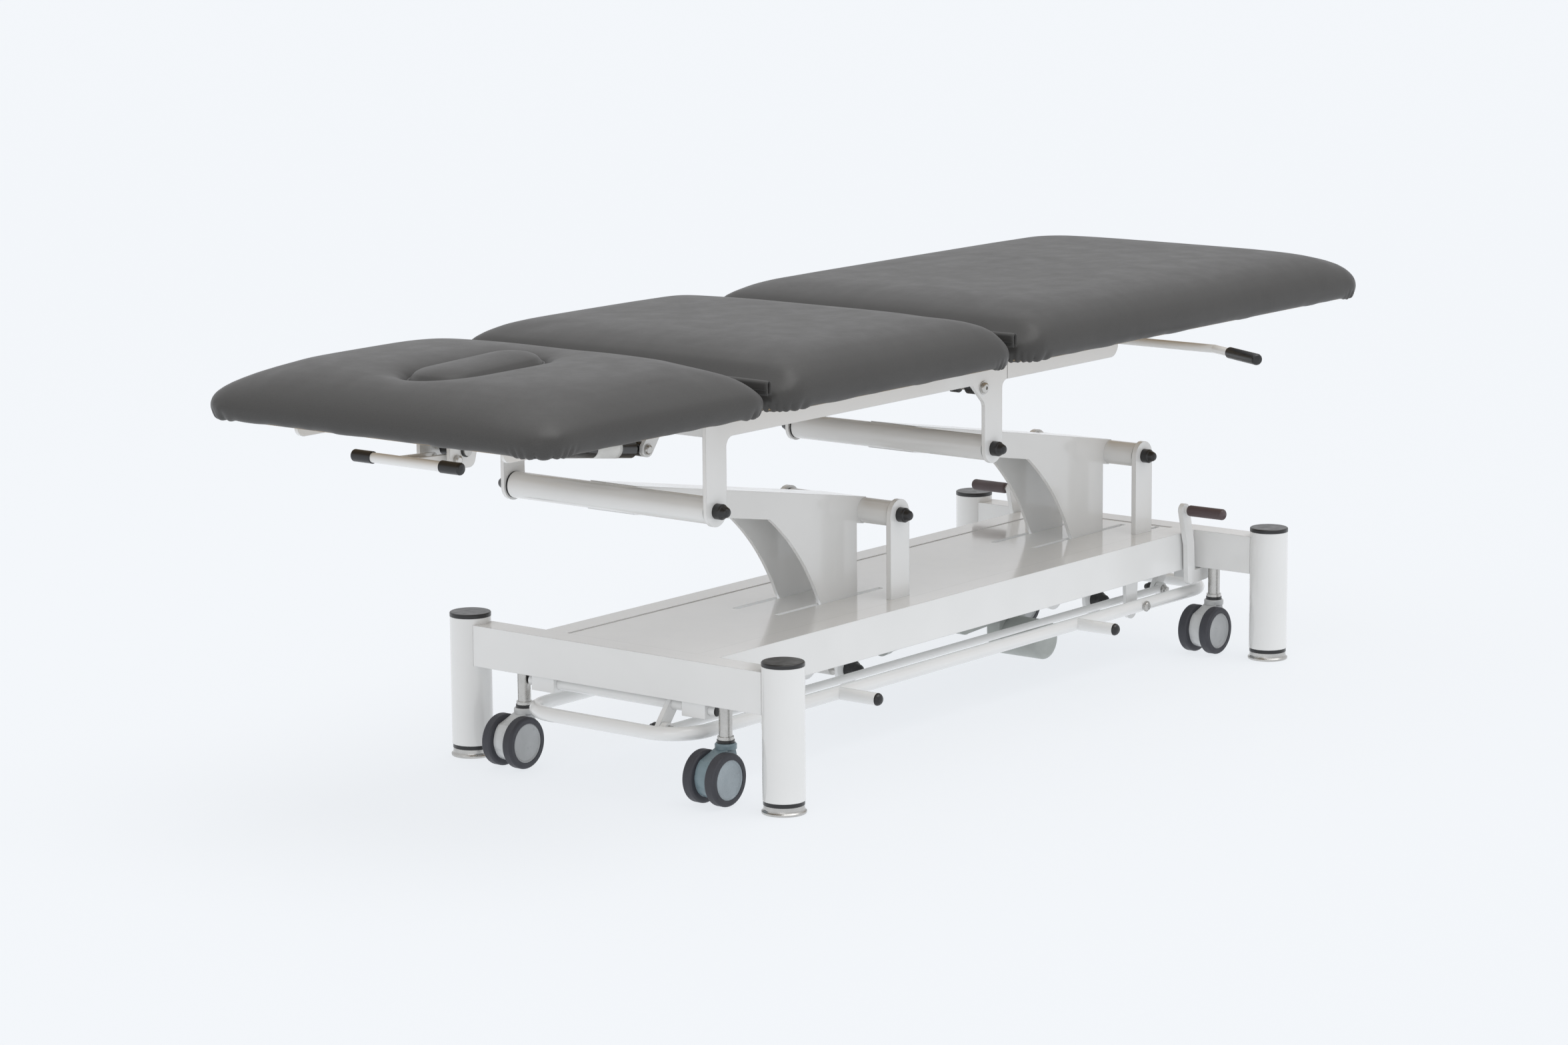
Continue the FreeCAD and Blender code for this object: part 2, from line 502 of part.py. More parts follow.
def knuckle_room(tag, ax):
    """Clearance in the pads around the hinge knuckles."""
    return [box(f"room_{tag}{n}", 23, 22, 30, ax - 11.5, 145 if s > 0 else -167, 557) for s, n in ((-1, "n"), (1, "f"))]


hole_b = stadium("hole_board", HOLE_X, 99, 38, 564, 40)
part(cut("head_board_cut", boards["head"], [hole_b]), "head_board")
part(boards["seat"], "seat_board")
part(boards["foot"], "foot_board")


def board_room(tag, x0, x1):
    return rounded(f"broom_{tag}", x0, x1, D["pad_half_w"] - 14, 40, Z0 + 6, "Dims.board_thick")


hole_c = stadium("hole_pad", HOLE_X, 113.5, 52, 600, 120)
part(cushion("head", -D["pad_half_len"], HEAD_AX, END, JOIN, SIDE, board_room("head", -1004.5 + 14, HEAD_AX - 14), [hole_c] + knuckle_room("hh", HEAD_AX)), "head_cushion")
part(cushion("seat", HEAD_AX, FOOT_AX, JOIN, JOIN, FULL, board_room("seat", HEAD_AX + 14, FOOT_AX - 14), knuckle_room("sh", HEAD_AX) + knuckle_room("sf", FOOT_AX)), "seat_cushion")
part(cushion("foot", FOOT_AX, D["pad_half_len"], JOIN, END, FULL, board_room("foot", FOOT_AX + 14, 1004.5 - 14), knuckle_room("ff", FOOT_AX)), "foot_cushion")
part(stadium("plug", HOLE_X, 110.5, 49, 602, 64), "face_plug")

for tag, ax in (("head", HEAD_AX), ("foot", FOOT_AX)):
    part(box(f"strip_{tag}", 9.6, 500, 21.5, ax - 4.8, -250, 581), f"gap_strip_{tag}")

# ---------------------------------------------------------------- head section
hf = []
for s, n in ((-1, "near"), (1, "far")):
    hf.append(pad(f"head_rail{n}", [(-564.5, 558), (-940.5, 558), (-940.5, 547), (-928.5, 535, -937, 538.5), (-564.5, 535)], 6, (0, s * 185, 0)))
    hf.append(box(f"head_x1{n}", 30, 158, 23, -605, 24 if s > 0 else -182, 535))
    hf.append(eye_plate(f"head_eye{n}", HEAD_AX, s * 159.5, [(-7, 0), (7, 0, 0, 7), (4, -12), (-2, -23), (-42, -23), (-55, -38), (-80.5, -38), (-80.5, -15), (-10.5, -15), (-10.5, -7)]))
    hf.append(pad(f"lever_bracket{n}", [(-872, 558), (-872, 508), (-867, 502.5, -870.4, 504.1), (-836, 501), (-823, 510, -827, 503.6), (-814, 540), (-812, 558)], 6, (0, s * 27, 0)))
    hf.append(cyl(f"lever_stub{n}", 4, 26, (-859.5, 9 if s > 0 else -35, 514), "y"))
    hf.append(spin(f"lever_nut{n}", [(0, 0), (6.5, 0), (6.5, 5), (4, 6.5), (0, 6.5)], (-859.5, s * 30, 514), (0, s, 0)))
    hf.append(spin(f"spring_nut{n}", [(0, 0), (9, 0), (9, 2.5), (7.4, 2.5), (7.4, 5.5), (0, 5.5)], (-842, s * 30, 525), (0, s, 0)))
hf.append(cut("head_x2", box("head_x2o", 30, 364, 17, -861, -182, 541), [box("head_x2n", 40, 24, 12, -866, -12, 540)]))
HF = fuse("head_frame_w", hf)
bore_h = [cyl(f"bore_h{n}", "4.0 + Dims.pin_clear", 8, (HEAD_AX, 155.5 if s > 0 else -163.5, HZ), "y") for s, n in ((-1, "n"), (1, "f"))]
part(cut("head_frame_c", HF, bore_h), "head_frame")

tb = cyl("tbar", "Dims.tbar_radius", 124, (-922, -62, 517), "y")
arms_ = [pad(f"tbar_arm{n}", round_plate((-922, 517), (-859.5, 514), 6.5), 6, (0, s * 14, 0)) for s, n in ((-1, "near"), (1, "far"))]
tweb = box("tbar_web", 36, 28, 5, -912, -14, 513)
tstub = [cyl(f"tbar_bore{n}", "4 + Dims.pin_clear", 10, (-859.5, 10 if s > 0 else -20, 514), "y") for s, n in ((-1, "near"), (1, "far"))]
part(cut("head_lever_c", fuse("head_lever_w", [tb] + arms_ + [tweb]), tstub), "head_lever")
tcap = [spin(f"tbar_cap{n}", [(0, 0), (8.4, 0), (8.4, 31), (6.0, 35, 7.8, 33.8), (0, 36)], (-922, s * 62, 517), (0, s, 0)) for s, n in ((-1, "near"), (1, "far"))]
part(group("g_tbar_caps", tcap), "head_lever_caps")

# ---------------------------------------------------------------- leg or back section
ff = []
for s, n in ((-1, "near"), (1, "far")):
    ff.append(pad(f"foot_rail{n}", [(173.5, 558), (173.5, 511), (447.5, 511), (465.5, 531, 460, 517), (465.5, 558)], 6, (0, s * 185, 0)))
    ff.append(eye_plate(f"foot_eye{n}", FOOT_AX, s * 159.5, [(-7, 0), (7, 0, 0, 7), (10.5, -7), (10.5, -15), (165, -15), (165, -45), (60, -36), (40, -23), (2, -23), (-4, -12)]))
    ff.append(pad(f"lever_ear{n}", [(424, 558), (424, 534), (505, 513), (561, 508), (573, 520, 569.5, 511.5), (573, 546), (562, 558)], 6, (0, s * 17, 0)))
ff.append(cut("foot_x1", box("foot_x1o", 30, 364, 38, 200, -182, 520), [box("foot_x1n", 40, 44, 24, 195, -22, 518)]))
ff.append(cut("foot_x2", box("foot_x2o", 30, 364, 38, 420, -182, 520), [box("foot_x2n", 40, 28, 26, 415, -14, 518)]))
FF = fuse("foot_frame_w", ff)
bore_f = [cyl(f"bore_f{n}", "4.0 + Dims.pin_clear", 8, (FOOT_AX, 155.5 if s > 0 else -163.5, HZ), "y") for s, n in ((-1, "n"), (1, "f"))]
bore_f += [cyl("bore_lever", "Dims.lever_radius + Dims.pin_clear", 60, (561, -30, 520), "y")]
part(cut("foot_frame_c", FF, bore_f), "foot_frame")

LX, LZ = 561.0, 520.0  # release bar axis
lv = [cyl("lever_rod", "Dims.lever_radius", 604, (LX, -302, LZ), "y")]
lg = []
GX, GY = -62.0, 118.0
GL = math.hypot(GX, GY)
for s, n in ((-1, "near"), (1, "far")):
    d = (GX / GL, s * GY / GL, 0)
    b = doc.addObject("Part::Sphere", f"lever_bend{n}")
    b.setExpression("Radius", "Dims.lever_radius")
    b.Placement = FreeCAD.Placement(V3(LX, s * 302, LZ), FreeCAD.Rotation())
    lv.append(b)
    lv.append(cyl(f"lever_end{n}", "Dims.lever_radius", GL - 12, (LX, s * 302, LZ), d))
    lg.append(spin(f"lever_grip{n}", [(6.5, 0), (8.4, 0), (8.8, 1), (8.8, 80), (6.4, 85.4, 8.1, 83.8), (0, 86.8), (0, 74.8), (6.5, 74.8)], (LX + d[0] * (GL - 86.8), s * 302 + d[1] * (GL - 86.8), LZ), d))
lv.append(pad("lever_paddle", round_plate((LX, LZ), (LX - 20, LZ - 2), 6.0), 10, (0, 0, 0)))
part(fuse("foot_lever_w", lv), "foot_lever")
part(group("g_lever_grips", lg), "foot_lever_grips")


# ---------------------------------------------------------------- gas springs
def gas_spring(tag, A, B, body_len, rod_in, eye_w, pin_w, pin_r):
    """A: cylinder eye (x, z); B: rod eye.  Built along the line from A to B in the plane y = 0."""
    L = math.hypot(B[0] - A[0], B[1] - A[1])
    d = ((B[0] - A[0]) / L, 0, (B[1] - A[1]) / L)

    def at(t):
        return (A[0] + d[0] * t, 0, A[1] + d[2] * t)

    e = cyl(f"{tag}_ce", pin_r + 6, 2 * eye_w, (A[0], -eye_w, A[1]), "y")
    nk = cyl(f"{tag}_cn", 7, 22, at(4), d)
    cy = cyl(f"{tag}_cc", "Dims.spring_radius", body_len, at(20), d)
    cb_ = cyl(f"{tag}_cb", "Dims.rod_radius + Dims.pin_clear", body_len, at(34), d)
    eb_ = cyl(f"{tag}_eb", pin_r + 0.05, 2 * eye_w + 2, (A[0], -eye_w - 1, A[1]), "y")
    c_ = cut(f"{tag}_cyl", fuse(f"{tag}_cw", [e, nk, cy]), [cb_, eb_])
    rd = cyl(f"{tag}_rr", "Dims.rod_radius", L - rod_in - 22, at(rod_in), d)
    rf = cyl(f"{tag}_rf", 7.5, 34, at(L - 38), d)
    re = cyl(f"{tag}_re", 9.5, 16, (B[0], -8, B[1]), "y")
    rp = cyl(f"{tag}_rp", 4, 2 * pin_w, (B[0], -pin_w, B[1]), "y")
    return c_, fuse(f"{tag}_rod", [rd, rf, re, rp])


c_, r_ = gas_spring("hs", (-452, 472), (-842, 525), 215, 120, 9, 22, 5)
part(c_, "head_spring_cylinder")
part(r_, "head_spring_rod")
c_, r_ = gas_spring("fs", (111.5, 505), (520, 527), 215, 90, 12, 13, 6)
part(c_, "foot_spring_cylinder")
part(r_, "foot_spring_rod")

# ---------------------------------------------------------------- castors
SY = D["stem_y"]
stems = []
for i, x in enumerate(PX2):
    for s, n in ((-1, "near"), (1, "far")):
        stems.append(spin(f"stem{i}{n}", [(0, 62), (5, 62), (5, 84.5), (12.5, 84.5), (12.5, 88.5), (11.6, 88.5), (11.6, 93), (9.5, 93), (9.5, 186), (8.5, 187), (0, 187)], (x, s * SY, 0)))
part(group("g_stems", stems), "castor_stems")
TR, WZ = -26.0, 39.0
for i, x in enumerate(PX2):
    for s, n in ((-1, "near"), (1, "far")):
        tag = f"{('head', 'foot')[i]}_{n}"
        cpz = spin(f"fork_cap_{tag}", [(0, 58), (10.6, 58), (10.9, 73.6), (14.5, 74.5), (15.5, 76), (15.5, 82), (14, 84), (0, 84)], (x, s * SY, 0))
        bodyp = pad(f"fork_body_{tag}", [(-10, 77), (8, 75), (12, 61), (8, 48), (2, 28, 6, 38), (-15, 12, -5, 18), (-38, 14.5, -27, 9.5), (-52, 29, -47.5, 20), (-54.5, 48, -55.5, 38), (-44, 65, -50.5, 58)], 22, (x, s * SY, 0))
        fb = cyl(f"fork_pin_bore_{tag}", 5.05, 40, (x, s * SY, 50), "z")
        fa = cyl(f"fork_axle_bore_{tag}", 4.05, 40, (x + TR, s * SY - 20, WZ), "y")
        part(cut(f"fork_{tag}", fuse(f"fork_w_{tag}", [cpz, bodyp]), [fb, fa]), f"castor_fork_{tag}")
        ws = []
        hubs = []
        for q in (-1, 1):
            hubs.append(spin(f"hub_{tag}{q}", [(0, 0), (28.5, 0), (28.5, 16.0), (27.0, 16.6), (25.5, 14.8), (10, 13.8, 18, 14.1), (0, 14.4)], (x + TR, s * SY + q * 11.2, WZ), (0, q, 0)))
            ws.append(spin(f"tyre_{tag}{q}", [(28.5, 0), (33.5, 0), (37.5, 5, 36.6, 1.4), (37.5, 12), (33.5, 17, 36.6, 15.6), (28.5, 17)], (x + TR, s * SY + q * 11.2, WZ), (0, q, 0)))
        ax = cyl(f"axle_{tag}", 4, 29, (x + TR, s * SY - 14.5, WZ), "y")
        part(group(f"g_wheels_{tag}", [fuse(f"hubs_{tag}", hubs + [ax])] + ws), f"castor_wheels_{tag}")

# castor lift shafts: lever arms joined by a link rod; crank handles on the foot end shaft
PIN = (-25.0, -31.0)
LY = -90.0


def lift_shaft(tag, x, extra):
    sh = cyl(f"{tag}_shaft", "Dims.shaft_radius", 343, (x, -171.5, 126), "y")
    a = pad(f"{tag}_arm", round_plate((0, 0), PIN, 10), 8, (x, LY, 126))
    p = cyl(f"{tag}_pin", 4, 30, (x + PIN[0], -114, 126 + PIN[1]), "y")
    c = cap(f"{tag}_knob", x + PIN[0], -86, 126 + PIN[1], 1, 0.72)
    h = spin(f"{tag}_head", [(0, 0), (6.5, 0), (6.5, 3.5), (4.5, 5), (0, 5)], (x + PIN[0], -105.5, 126 + PIN[1]), (0, -1, 0))
    return fuse(f"{tag}_w", [sh, a, p, c, h] + extra)


part(lift_shaft("lsh", XH, []), "castor_shaft_head")
KX = [(XF, 126.0), (XF - 44, 124.0), (XF - 47, 180.0), (XF - 62, 236.0)]
extra, grips = [], []
for s, n in ((-1, "near"), (1, "far")):
    for k in range(3):
        extra.append(pad(f"crank{k}{n}", round_plate(KX[k], KX[k + 1], 10.5), 8, (0, s * 167.5, 0)))
    extra.append(cyl(f"shank{n}", 4.5, 62, (KX[3][0], 171 if s > 0 else -233, KX[3][1]), "y"))
    g = spin(f"grip_o{n}", [(4.5, 0), (8, 0), (8.8, 4, 8.6, 1.6), (8.8, 60), (6, 66, 8.1, 64), (0, 67), (0, 55.0), (4.5, 55.0)], (KX[3][0], s * 178, KX[3][1]), (0, s, 0))
    grips.append(g)
part(lift_shaft("lsf", XF, extra), "castor_shaft_foot")
part(group("g_grips", grips), "crank_grips")

lx0, lx1, lz = XH + PIN[0], XF + PIN[0], 126 + PIN[1]
lk = [cyl("clink_rod", 6, lx1 - lx0 - 16, (lx0 + 8, -100, lz), "x")]
for k, x in enumerate((lx0, lx1)):
    lk.append(cyl(f"clink_eye{k}", 10, 10, (x, -105, lz), "y"))
part(cut("clink_c", fuse("clink_w", lk), [cyl(f"clink_b{k}", 4.05, 20, (x, -110, lz), "y") for k, x in enumerate((lx0, lx1))]), "castor_link")


# ---------------------------------------------------------------- foot bar
def bar_loop(tag, r):
    x0, x1, hy, R, z = -547.5, 800.5, D["bar_half_y"], D["bar_bend"], D["bar_z"]
    o = []
    for s, n in ((-1, "near"), (1, "far")):
        o.append(cyl(f"{tag}_s{n}", r, x1 - x0 - 2 * R, (x0 + R, s * hy, z), "x"))
    for k, x in enumerate((x0, x1)):
        o.append(cyl(f"{tag}_e{k}", r, 2 * (hy - R), (x, -(hy - R), z), "y"))
    for k, (cx, cy_, a0) in enumerate(((x0 + R, -(hy - R), 180), (x1 - R, -(hy - R), 270), (x1 - R, hy - R, 0), (x0 + R, hy - R, 90))):
        o.append(torus(f"{tag}_t{k}", "Dims.bar_bend", r, (cx, cy_, z), a0, 90))
    return fuse(f"{tag}_loop", o)


pegs, plugs = [], []
for x in (-195.0, 410.0):
    for s, n in ((-1, "near"), (1, "far")):
        pegs.append(cyl(f"peg{int(x)}{n}".replace("-", "m"), "Dims.bar_radius - 0.75", 72, (x, 150 if s > 0 else -222, D["bar_z"]), "y"))
        plugs.append(spin(f"peg_plug{int(x)}{n}".replace("-", "m"), [(0, 0), (9.4, 0), (8.2, 3.6, 9.2, 1.8), (4.4, 6.8, 6.6, 5.6), (0, 7.8)], (x, s * 222, D["bar_z"]), (0, s, 0)))
bar_o = fuse("bar_all", [bar_loop("bar_o", "Dims.bar_radius")] + pegs)
bolt_holes = [cyl(f"bar_hole{int(abs(x))}{n}", 4.0, 40, (x, 130 if s > 0 else -170, 95), "y") for x in (-336.0, 589.0) for s, n in ((-1, "near"), (1, "far"))]
part(cut("foot_bar_c", bar_o, [bar_loop("bar_i", "Dims.bar_radius - Dims.bar_wall")] + bolt_holes), "foot_bar")
part(group("g_peg_plugs", plugs), "foot_bar_plugs")

# ---------------------------------------------------------------- checks and export
doc.recompute()
bad = []
for o in doc.Objects:
    st = [str(v) for v in o.State]
    if any(v in ("Invalid", "Error") for v in st):
        bad.append(f"{o.Name} ({o.Label}): {st}")
for o in OUT:
    if o.Shape.isNull() or not o.Shape.isValid() or not o.Shape.Solids:
        bad.append(f"{o.Label}: null, invalid or without solids")
if bad:
    raise SystemExit("failed objects:\n" + "\n".join(bad))
labels = [o.Label for o in OUT]
assert len(labels) == len(set(labels)) <= 60, len(labels)
for o in OUT:
    o.Shape.exportStep(f"parts/{o.Label}.step")
    print(f"{o.Label:32s} solids {len(o.Shape.Solids):2d}  volume {o.Shape.Volume / 1000:10.1f} cm3  z {o.Shape.BoundBox.ZMin:7.1f}..{o.Shape.BoundBox.ZMax:7.1f}")
print(len(labels), "nodes")
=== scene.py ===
"""A padded couch in three sections (head, seat and long) on a castor frame.

X runs from the head end (-) to the foot end (+), Y from the near side (-) to the far
side (+), and Z is up from the floor. Shapes are worked out in millimetres and stored in
metres. This script dresses the CAD pieces and builds the pads, face plug, gap folds,
spring label and stage.
"""
import bpy
import bmesh
import json
import math
from collections import namedtuple
import numpy as np
from mathutils import Matrix, Vector


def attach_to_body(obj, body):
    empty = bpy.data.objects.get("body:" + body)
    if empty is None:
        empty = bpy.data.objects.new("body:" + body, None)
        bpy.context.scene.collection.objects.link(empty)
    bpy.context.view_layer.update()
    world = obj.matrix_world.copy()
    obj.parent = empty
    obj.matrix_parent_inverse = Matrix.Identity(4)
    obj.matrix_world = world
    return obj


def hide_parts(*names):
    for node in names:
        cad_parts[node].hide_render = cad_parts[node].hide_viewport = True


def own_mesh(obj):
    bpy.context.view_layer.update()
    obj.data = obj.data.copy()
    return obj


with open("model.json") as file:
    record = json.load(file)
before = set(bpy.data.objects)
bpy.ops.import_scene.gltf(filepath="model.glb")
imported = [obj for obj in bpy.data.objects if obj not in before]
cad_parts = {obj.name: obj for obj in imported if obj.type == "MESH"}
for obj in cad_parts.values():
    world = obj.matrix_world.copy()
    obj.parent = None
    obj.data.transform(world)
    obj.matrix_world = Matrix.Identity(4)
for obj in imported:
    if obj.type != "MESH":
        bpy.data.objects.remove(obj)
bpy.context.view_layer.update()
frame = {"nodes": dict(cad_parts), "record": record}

nodes = frame["nodes"]
scene = bpy.context.scene

MM = 0.001                            # metres in a millimetre
TO_MM = 1000.0                        # millimetres in a metre
HEAD_AXIS_X, FOOT_AXIS_X = -524.5, 45.0   # tilt axes between the sections
AXIS_Z = 573.0
SPRING_SEAT_XZ = (-452, 472)          # pivots of the head gas spring
SPRING_HEAD_XZ = (-842, 525)
CASTOR_X = {"head": -494.9, "foot": 747.9}   # castor stems


# ------------------------------------------------------------------ materials
def set_inputs(node, values):
    for key, value in values.items():
        node.inputs[key].default_value = value


def shade(color, factor):
    return tuple(min(1, c * factor) for c in color)


class Shader:
    """A node material grown from one Principled shader."""

    def __init__(self, name, base, roughness, metallic=0.0, coat=0.0, specular=0.5):
        self.material = bpy.data.materials.new(name)
        self.material.use_nodes = True
        self.material.diffuse_color = (*base, 1)
        self.tree = self.material.node_tree
        self.surface = self.tree.nodes["Principled BSDF"]
        set_inputs(self.surface, {
            "Base Color": (*base, 1),
            "Roughness": roughness,
            "Metallic": metallic,
            "Coat Weight": coat,
            "Coat Roughness": 0.08,
            "Specular IOR Level": specular,
        })
        self.position = self.add("TexCoord", {}).outputs["Object"]
        self.normal = None

    def add(self, kind, values):
        node = self.tree.nodes.new("ShaderNode" + kind)
        set_inputs(node, values)
        return node

    def link(self, output, socket):
        self.tree.links.new(output, socket)

    def stretched(self, scale):
        node = self.add("Mapping", {"Scale": scale})
        self.link(self.position, node.inputs["Vector"])
        return node.outputs["Vector"]

    def noise(self, scale, detail, roughness, vector=None):
        node = self.add("TexNoise", {"Scale": scale, "Detail": detail, "Roughness": roughness})
        self.link(vector or self.position, node.inputs["Vector"])
        return node.outputs["Fac"]

    def voronoi(self, scale, feature):
        node = self.add("TexVoronoi", {"Scale": scale})
        node.feature = feature
        self.link(self.position, node.inputs["Vector"])
        return node.outputs["Distance"]

    def remap(self, value, to_min, to_max, from_min=0.3, from_max=0.7):
        node = self.add("MapRange", {
            "From Min": from_min, "From Max": from_max, "To Min": to_min, "To Max": to_max})
        self.link(value, node.inputs["Value"])
        return node.outputs["Result"]

    def mix(self, values, blend_type="MIX"):
        """A colour mix; inputs 0, 6 and 7 are its factor and two colours."""
        node = self.add("Mix", values)
        node.data_type = "RGBA"
        node.blend_type = blend_type
        return node

    def blend(self, value, first, second, from_min=0.3, from_max=0.7):
        node = self.mix({6: (*first, 1), 7: (*second, 1)})
        self.link(self.remap(value, 0, 1, from_min, from_max), node.inputs[0])
        return node.outputs[2]

    def color(self, output):
        self.link(output, self.surface.inputs["Base Color"])

    def roughness(self, value, low, high):
        self.link(self.remap(value, low, high), self.surface.inputs["Roughness"])

    def set_normal(self, node):
        self.normal = node.outputs["Normal"]
        self.link(self.normal, self.surface.inputs["Normal"])

    def bump(self, height, strength, distance):
        node = self.add("Bump", {"Strength": strength, "Distance": distance})
        self.link(height, node.inputs["Height"])
        if self.normal:
            self.link(self.normal, node.inputs["Normal"])
        self.set_normal(node)

    def soft_edges(self, radius):
        node = self.add("Bevel", {"Radius": radius})
        node.samples = 4
        self.set_normal(node)


def white_paint():
    base = (0.82, 0.82, 0.81)
    s = Shader("white_gloss_paint", base, roughness=0.14, coat=0.5)
    s.soft_edges(radius=0.0014)
    cloud = s.noise(scale=5.0, detail=3, roughness=0.6)
    s.color(s.blend(cloud, (0.795, 0.795, 0.784), base, from_min=0.35, from_max=0.6))
    s.roughness(s.noise(scale=18.0, detail=4, roughness=0.6), low=0.11, high=0.17)
    s.bump(s.noise(scale=240.0, detail=1, roughness=0.4), strength=0.03, distance=0.0002)
    return s.material


def plastic(name, base, low, high, grain, strength, coat):
    s = Shader(name, base, roughness=low, coat=coat)
    s.soft_edges(radius=0.0007)
    cloud = s.noise(scale=14.0, detail=4, roughness=0.6)
    s.color(s.blend(cloud, shade(base, 0.86), shade(base, 1.12)))
    s.roughness(s.noise(scale=80.0, detail=3, roughness=0.5), low, high)
    s.bump(s.voronoi(grain, "F1"), strength, distance=0.0003)
    return s.material


def bright_steel():
    base = (0.60, 0.59, 0.57)
    s = Shader("bright_steel", base, roughness=0.20, metallic=1.0)
    s.soft_edges(radius=0.0005)
    vector = s.stretched((1, 1, 1))
    cloud = s.noise(scale=30.0, detail=5, roughness=0.65, vector=vector)
    s.color(s.blend(cloud, shade(base, 0.82), base))
    wear = s.noise(scale=260.0, detail=4, roughness=0.6, vector=vector)
    s.roughness(wear, low=0.20, high=0.38)
    grain = s.noise(scale=900.0, detail=2, roughness=0.5, vector=vector)
    s.bump(grain, strength=0.08, distance=0.0002)
    return s.material


def vinyl(name, base, grain):
    s = Shader(name, base, roughness=0.47, specular=0.42)
    set_inputs(s.surface, {"Sheen Weight": 0.06, "Sheen Roughness": 0.45})
    cloud = s.noise(scale=3.2, detail=5, roughness=0.62)
    cells = s.voronoi(grain, "DISTANCE_TO_EDGE")
    fine = s.noise(scale=1700.0, detail=3, roughness=0.6)
    # painted shade: the creases between the grain cells darken the clouded colour, standing in
    # for the shade that falls in them
    product = s.mix({0: 0.5}, "MULTIPLY")
    s.link(s.blend(cloud, shade(base, 0.95), shade(base, 1.05)), product.inputs[6])
    painted_crease_shade = s.blend(cells, (0.72, 0.72, 0.72), (1, 1, 1), from_min=0.0, from_max=0.18)
    s.link(painted_crease_shade, product.inputs[7])
    s.color(product.outputs[2])
    s.roughness(s.noise(scale=24.0, detail=5, roughness=0.65), low=0.42, high=0.52)
    s.bump(s.noise(scale=9.0, detail=2, roughness=0.5), strength=0.05, distance=0.0022)
    s.bump(cells, strength=0.30, distance=0.00035)
    s.bump(fine, strength=0.14, distance=0.00012)
    return s.material


def plywood():
    s = Shader("plywood_sealed", (0.40, 0.29, 0.17), roughness=0.55)
    grain = s.noise(scale=4.0, detail=6, roughness=0.65, vector=s.stretched((2.0, 30.0, 30.0)))
    s.color(s.blend(grain, (0.30, 0.21, 0.12), (0.47, 0.35, 0.21)))
    s.roughness(s.noise(scale=40.0, detail=3, roughness=0.5), low=0.45, high=0.65)
    s.bump(grain, strength=0.25, distance=0.0006)
    return s.material


# name: colour, lowest and highest roughness, grain scale, grain strength, coat
PLASTICS = {
    "black_moulded": ((0.012, 0.012, 0.013), 0.28, 0.42, 900.0, 0.10, 0.2),
    "actuator_grey": ((0.42, 0.44, 0.42), 0.34, 0.5, 1100.0, 0.2, 0.0),
    "black_lacquer": ((0.010, 0.010, 0.011), 0.12, 0.22, 500.0, 0.05, 0.5),
    "castor_grey": ((0.40, 0.41, 0.415), 0.26, 0.38, 700.0, 0.10, 0.1),
    "grip_mauve": ((0.085, 0.060, 0.062), 0.35, 0.5, 600.0, 0.18, 0.0),
    "charcoal_tyre": ((0.040, 0.041, 0.050), 0.45, 0.6, 800.0, 0.2, 0.0),
    "castor_pale": ((0.60, 0.61, 0.61), 0.26, 0.38, 700.0, 0.10, 0.1),
    "castor_blue_grey": ((0.20, 0.27, 0.30), 0.26, 0.38, 700.0, 0.10, 0.1),
    "hub_blue_grey": ((0.34, 0.39, 0.42), 0.22, 0.34, 700.0, 0.10, 0.1),
    "blank_label": ((0.78, 0.78, 0.76), 0.38, 0.5, 1500.0, 0.05, 0.0),
    "seam_thread": ((0.05, 0.05, 0.05), 0.6, 0.75, 1500.0, 0.3, 0.0),
}
plastics = {name: plastic(name, *row) for name, row in PLASTICS.items()}
black, steel = plastics["black_moulded"], bright_steel()
pad_vinyl = vinyl("dark_grey_vinyl", (0.0560, 0.0540, 0.0515), grain=520.0)
piping_vinyl = vinyl("vinyl_piping", (0.040, 0.038, 0.036), grain=700.0)

slot_materials = {
    "white_paint": white_paint(),
    "black_plastic": black,
    "zinc_steel": steel,
    "actuator_grey": plastics["actuator_grey"],
    "plywood": plywood(),
    "vinyl": pad_vinyl,
    "spring_black": plastics["black_lacquer"],
    "castor_grey": plastics["castor_grey"],
    "grip_mauve": plastics["grip_mauve"],
}


# ------------------------------------------------------------------ dressing the CAD pieces
# A rule takes a face centre in millimetres and tells whether the accent covers that face.
def axis_distance(c, x, z):
    """Distance from a crosswise axis."""
    return math.hypot(c.x - x, c.z - z)


def around(x, z, radius, y_min, y_max):
    """Faces about a crosswise axis, between two distances from the centre plane."""
    return lambda c: axis_distance(c, x, z) < radius and y_min < abs(c.y) < y_max


def within(half_width):
    return lambda c: abs(c.y) < half_width


def shaft_accents(end):
    stem_x = CASTOR_X[end]
    shaft = (stem_x - 25, 95)
    return [
        (black, lambda c: axis_distance(c, *shaft) < 10 and c.y > -85.9 and abs(c.y) < 112),
        (steel, lambda c: axis_distance(c, *shaft) < 8 and c.y < -104),
        (black, lambda c: end == "head" and abs(c.y) > 171.2
            and axis_distance(c, stem_x, 126) < 8),
    ]


bar_end = around(-859.5, 514, 7, 30.1, 36.5)
pivot_end = around(*SPRING_HEAD_XZ, 7.6, 30.1, 36.5)
base_of = {}
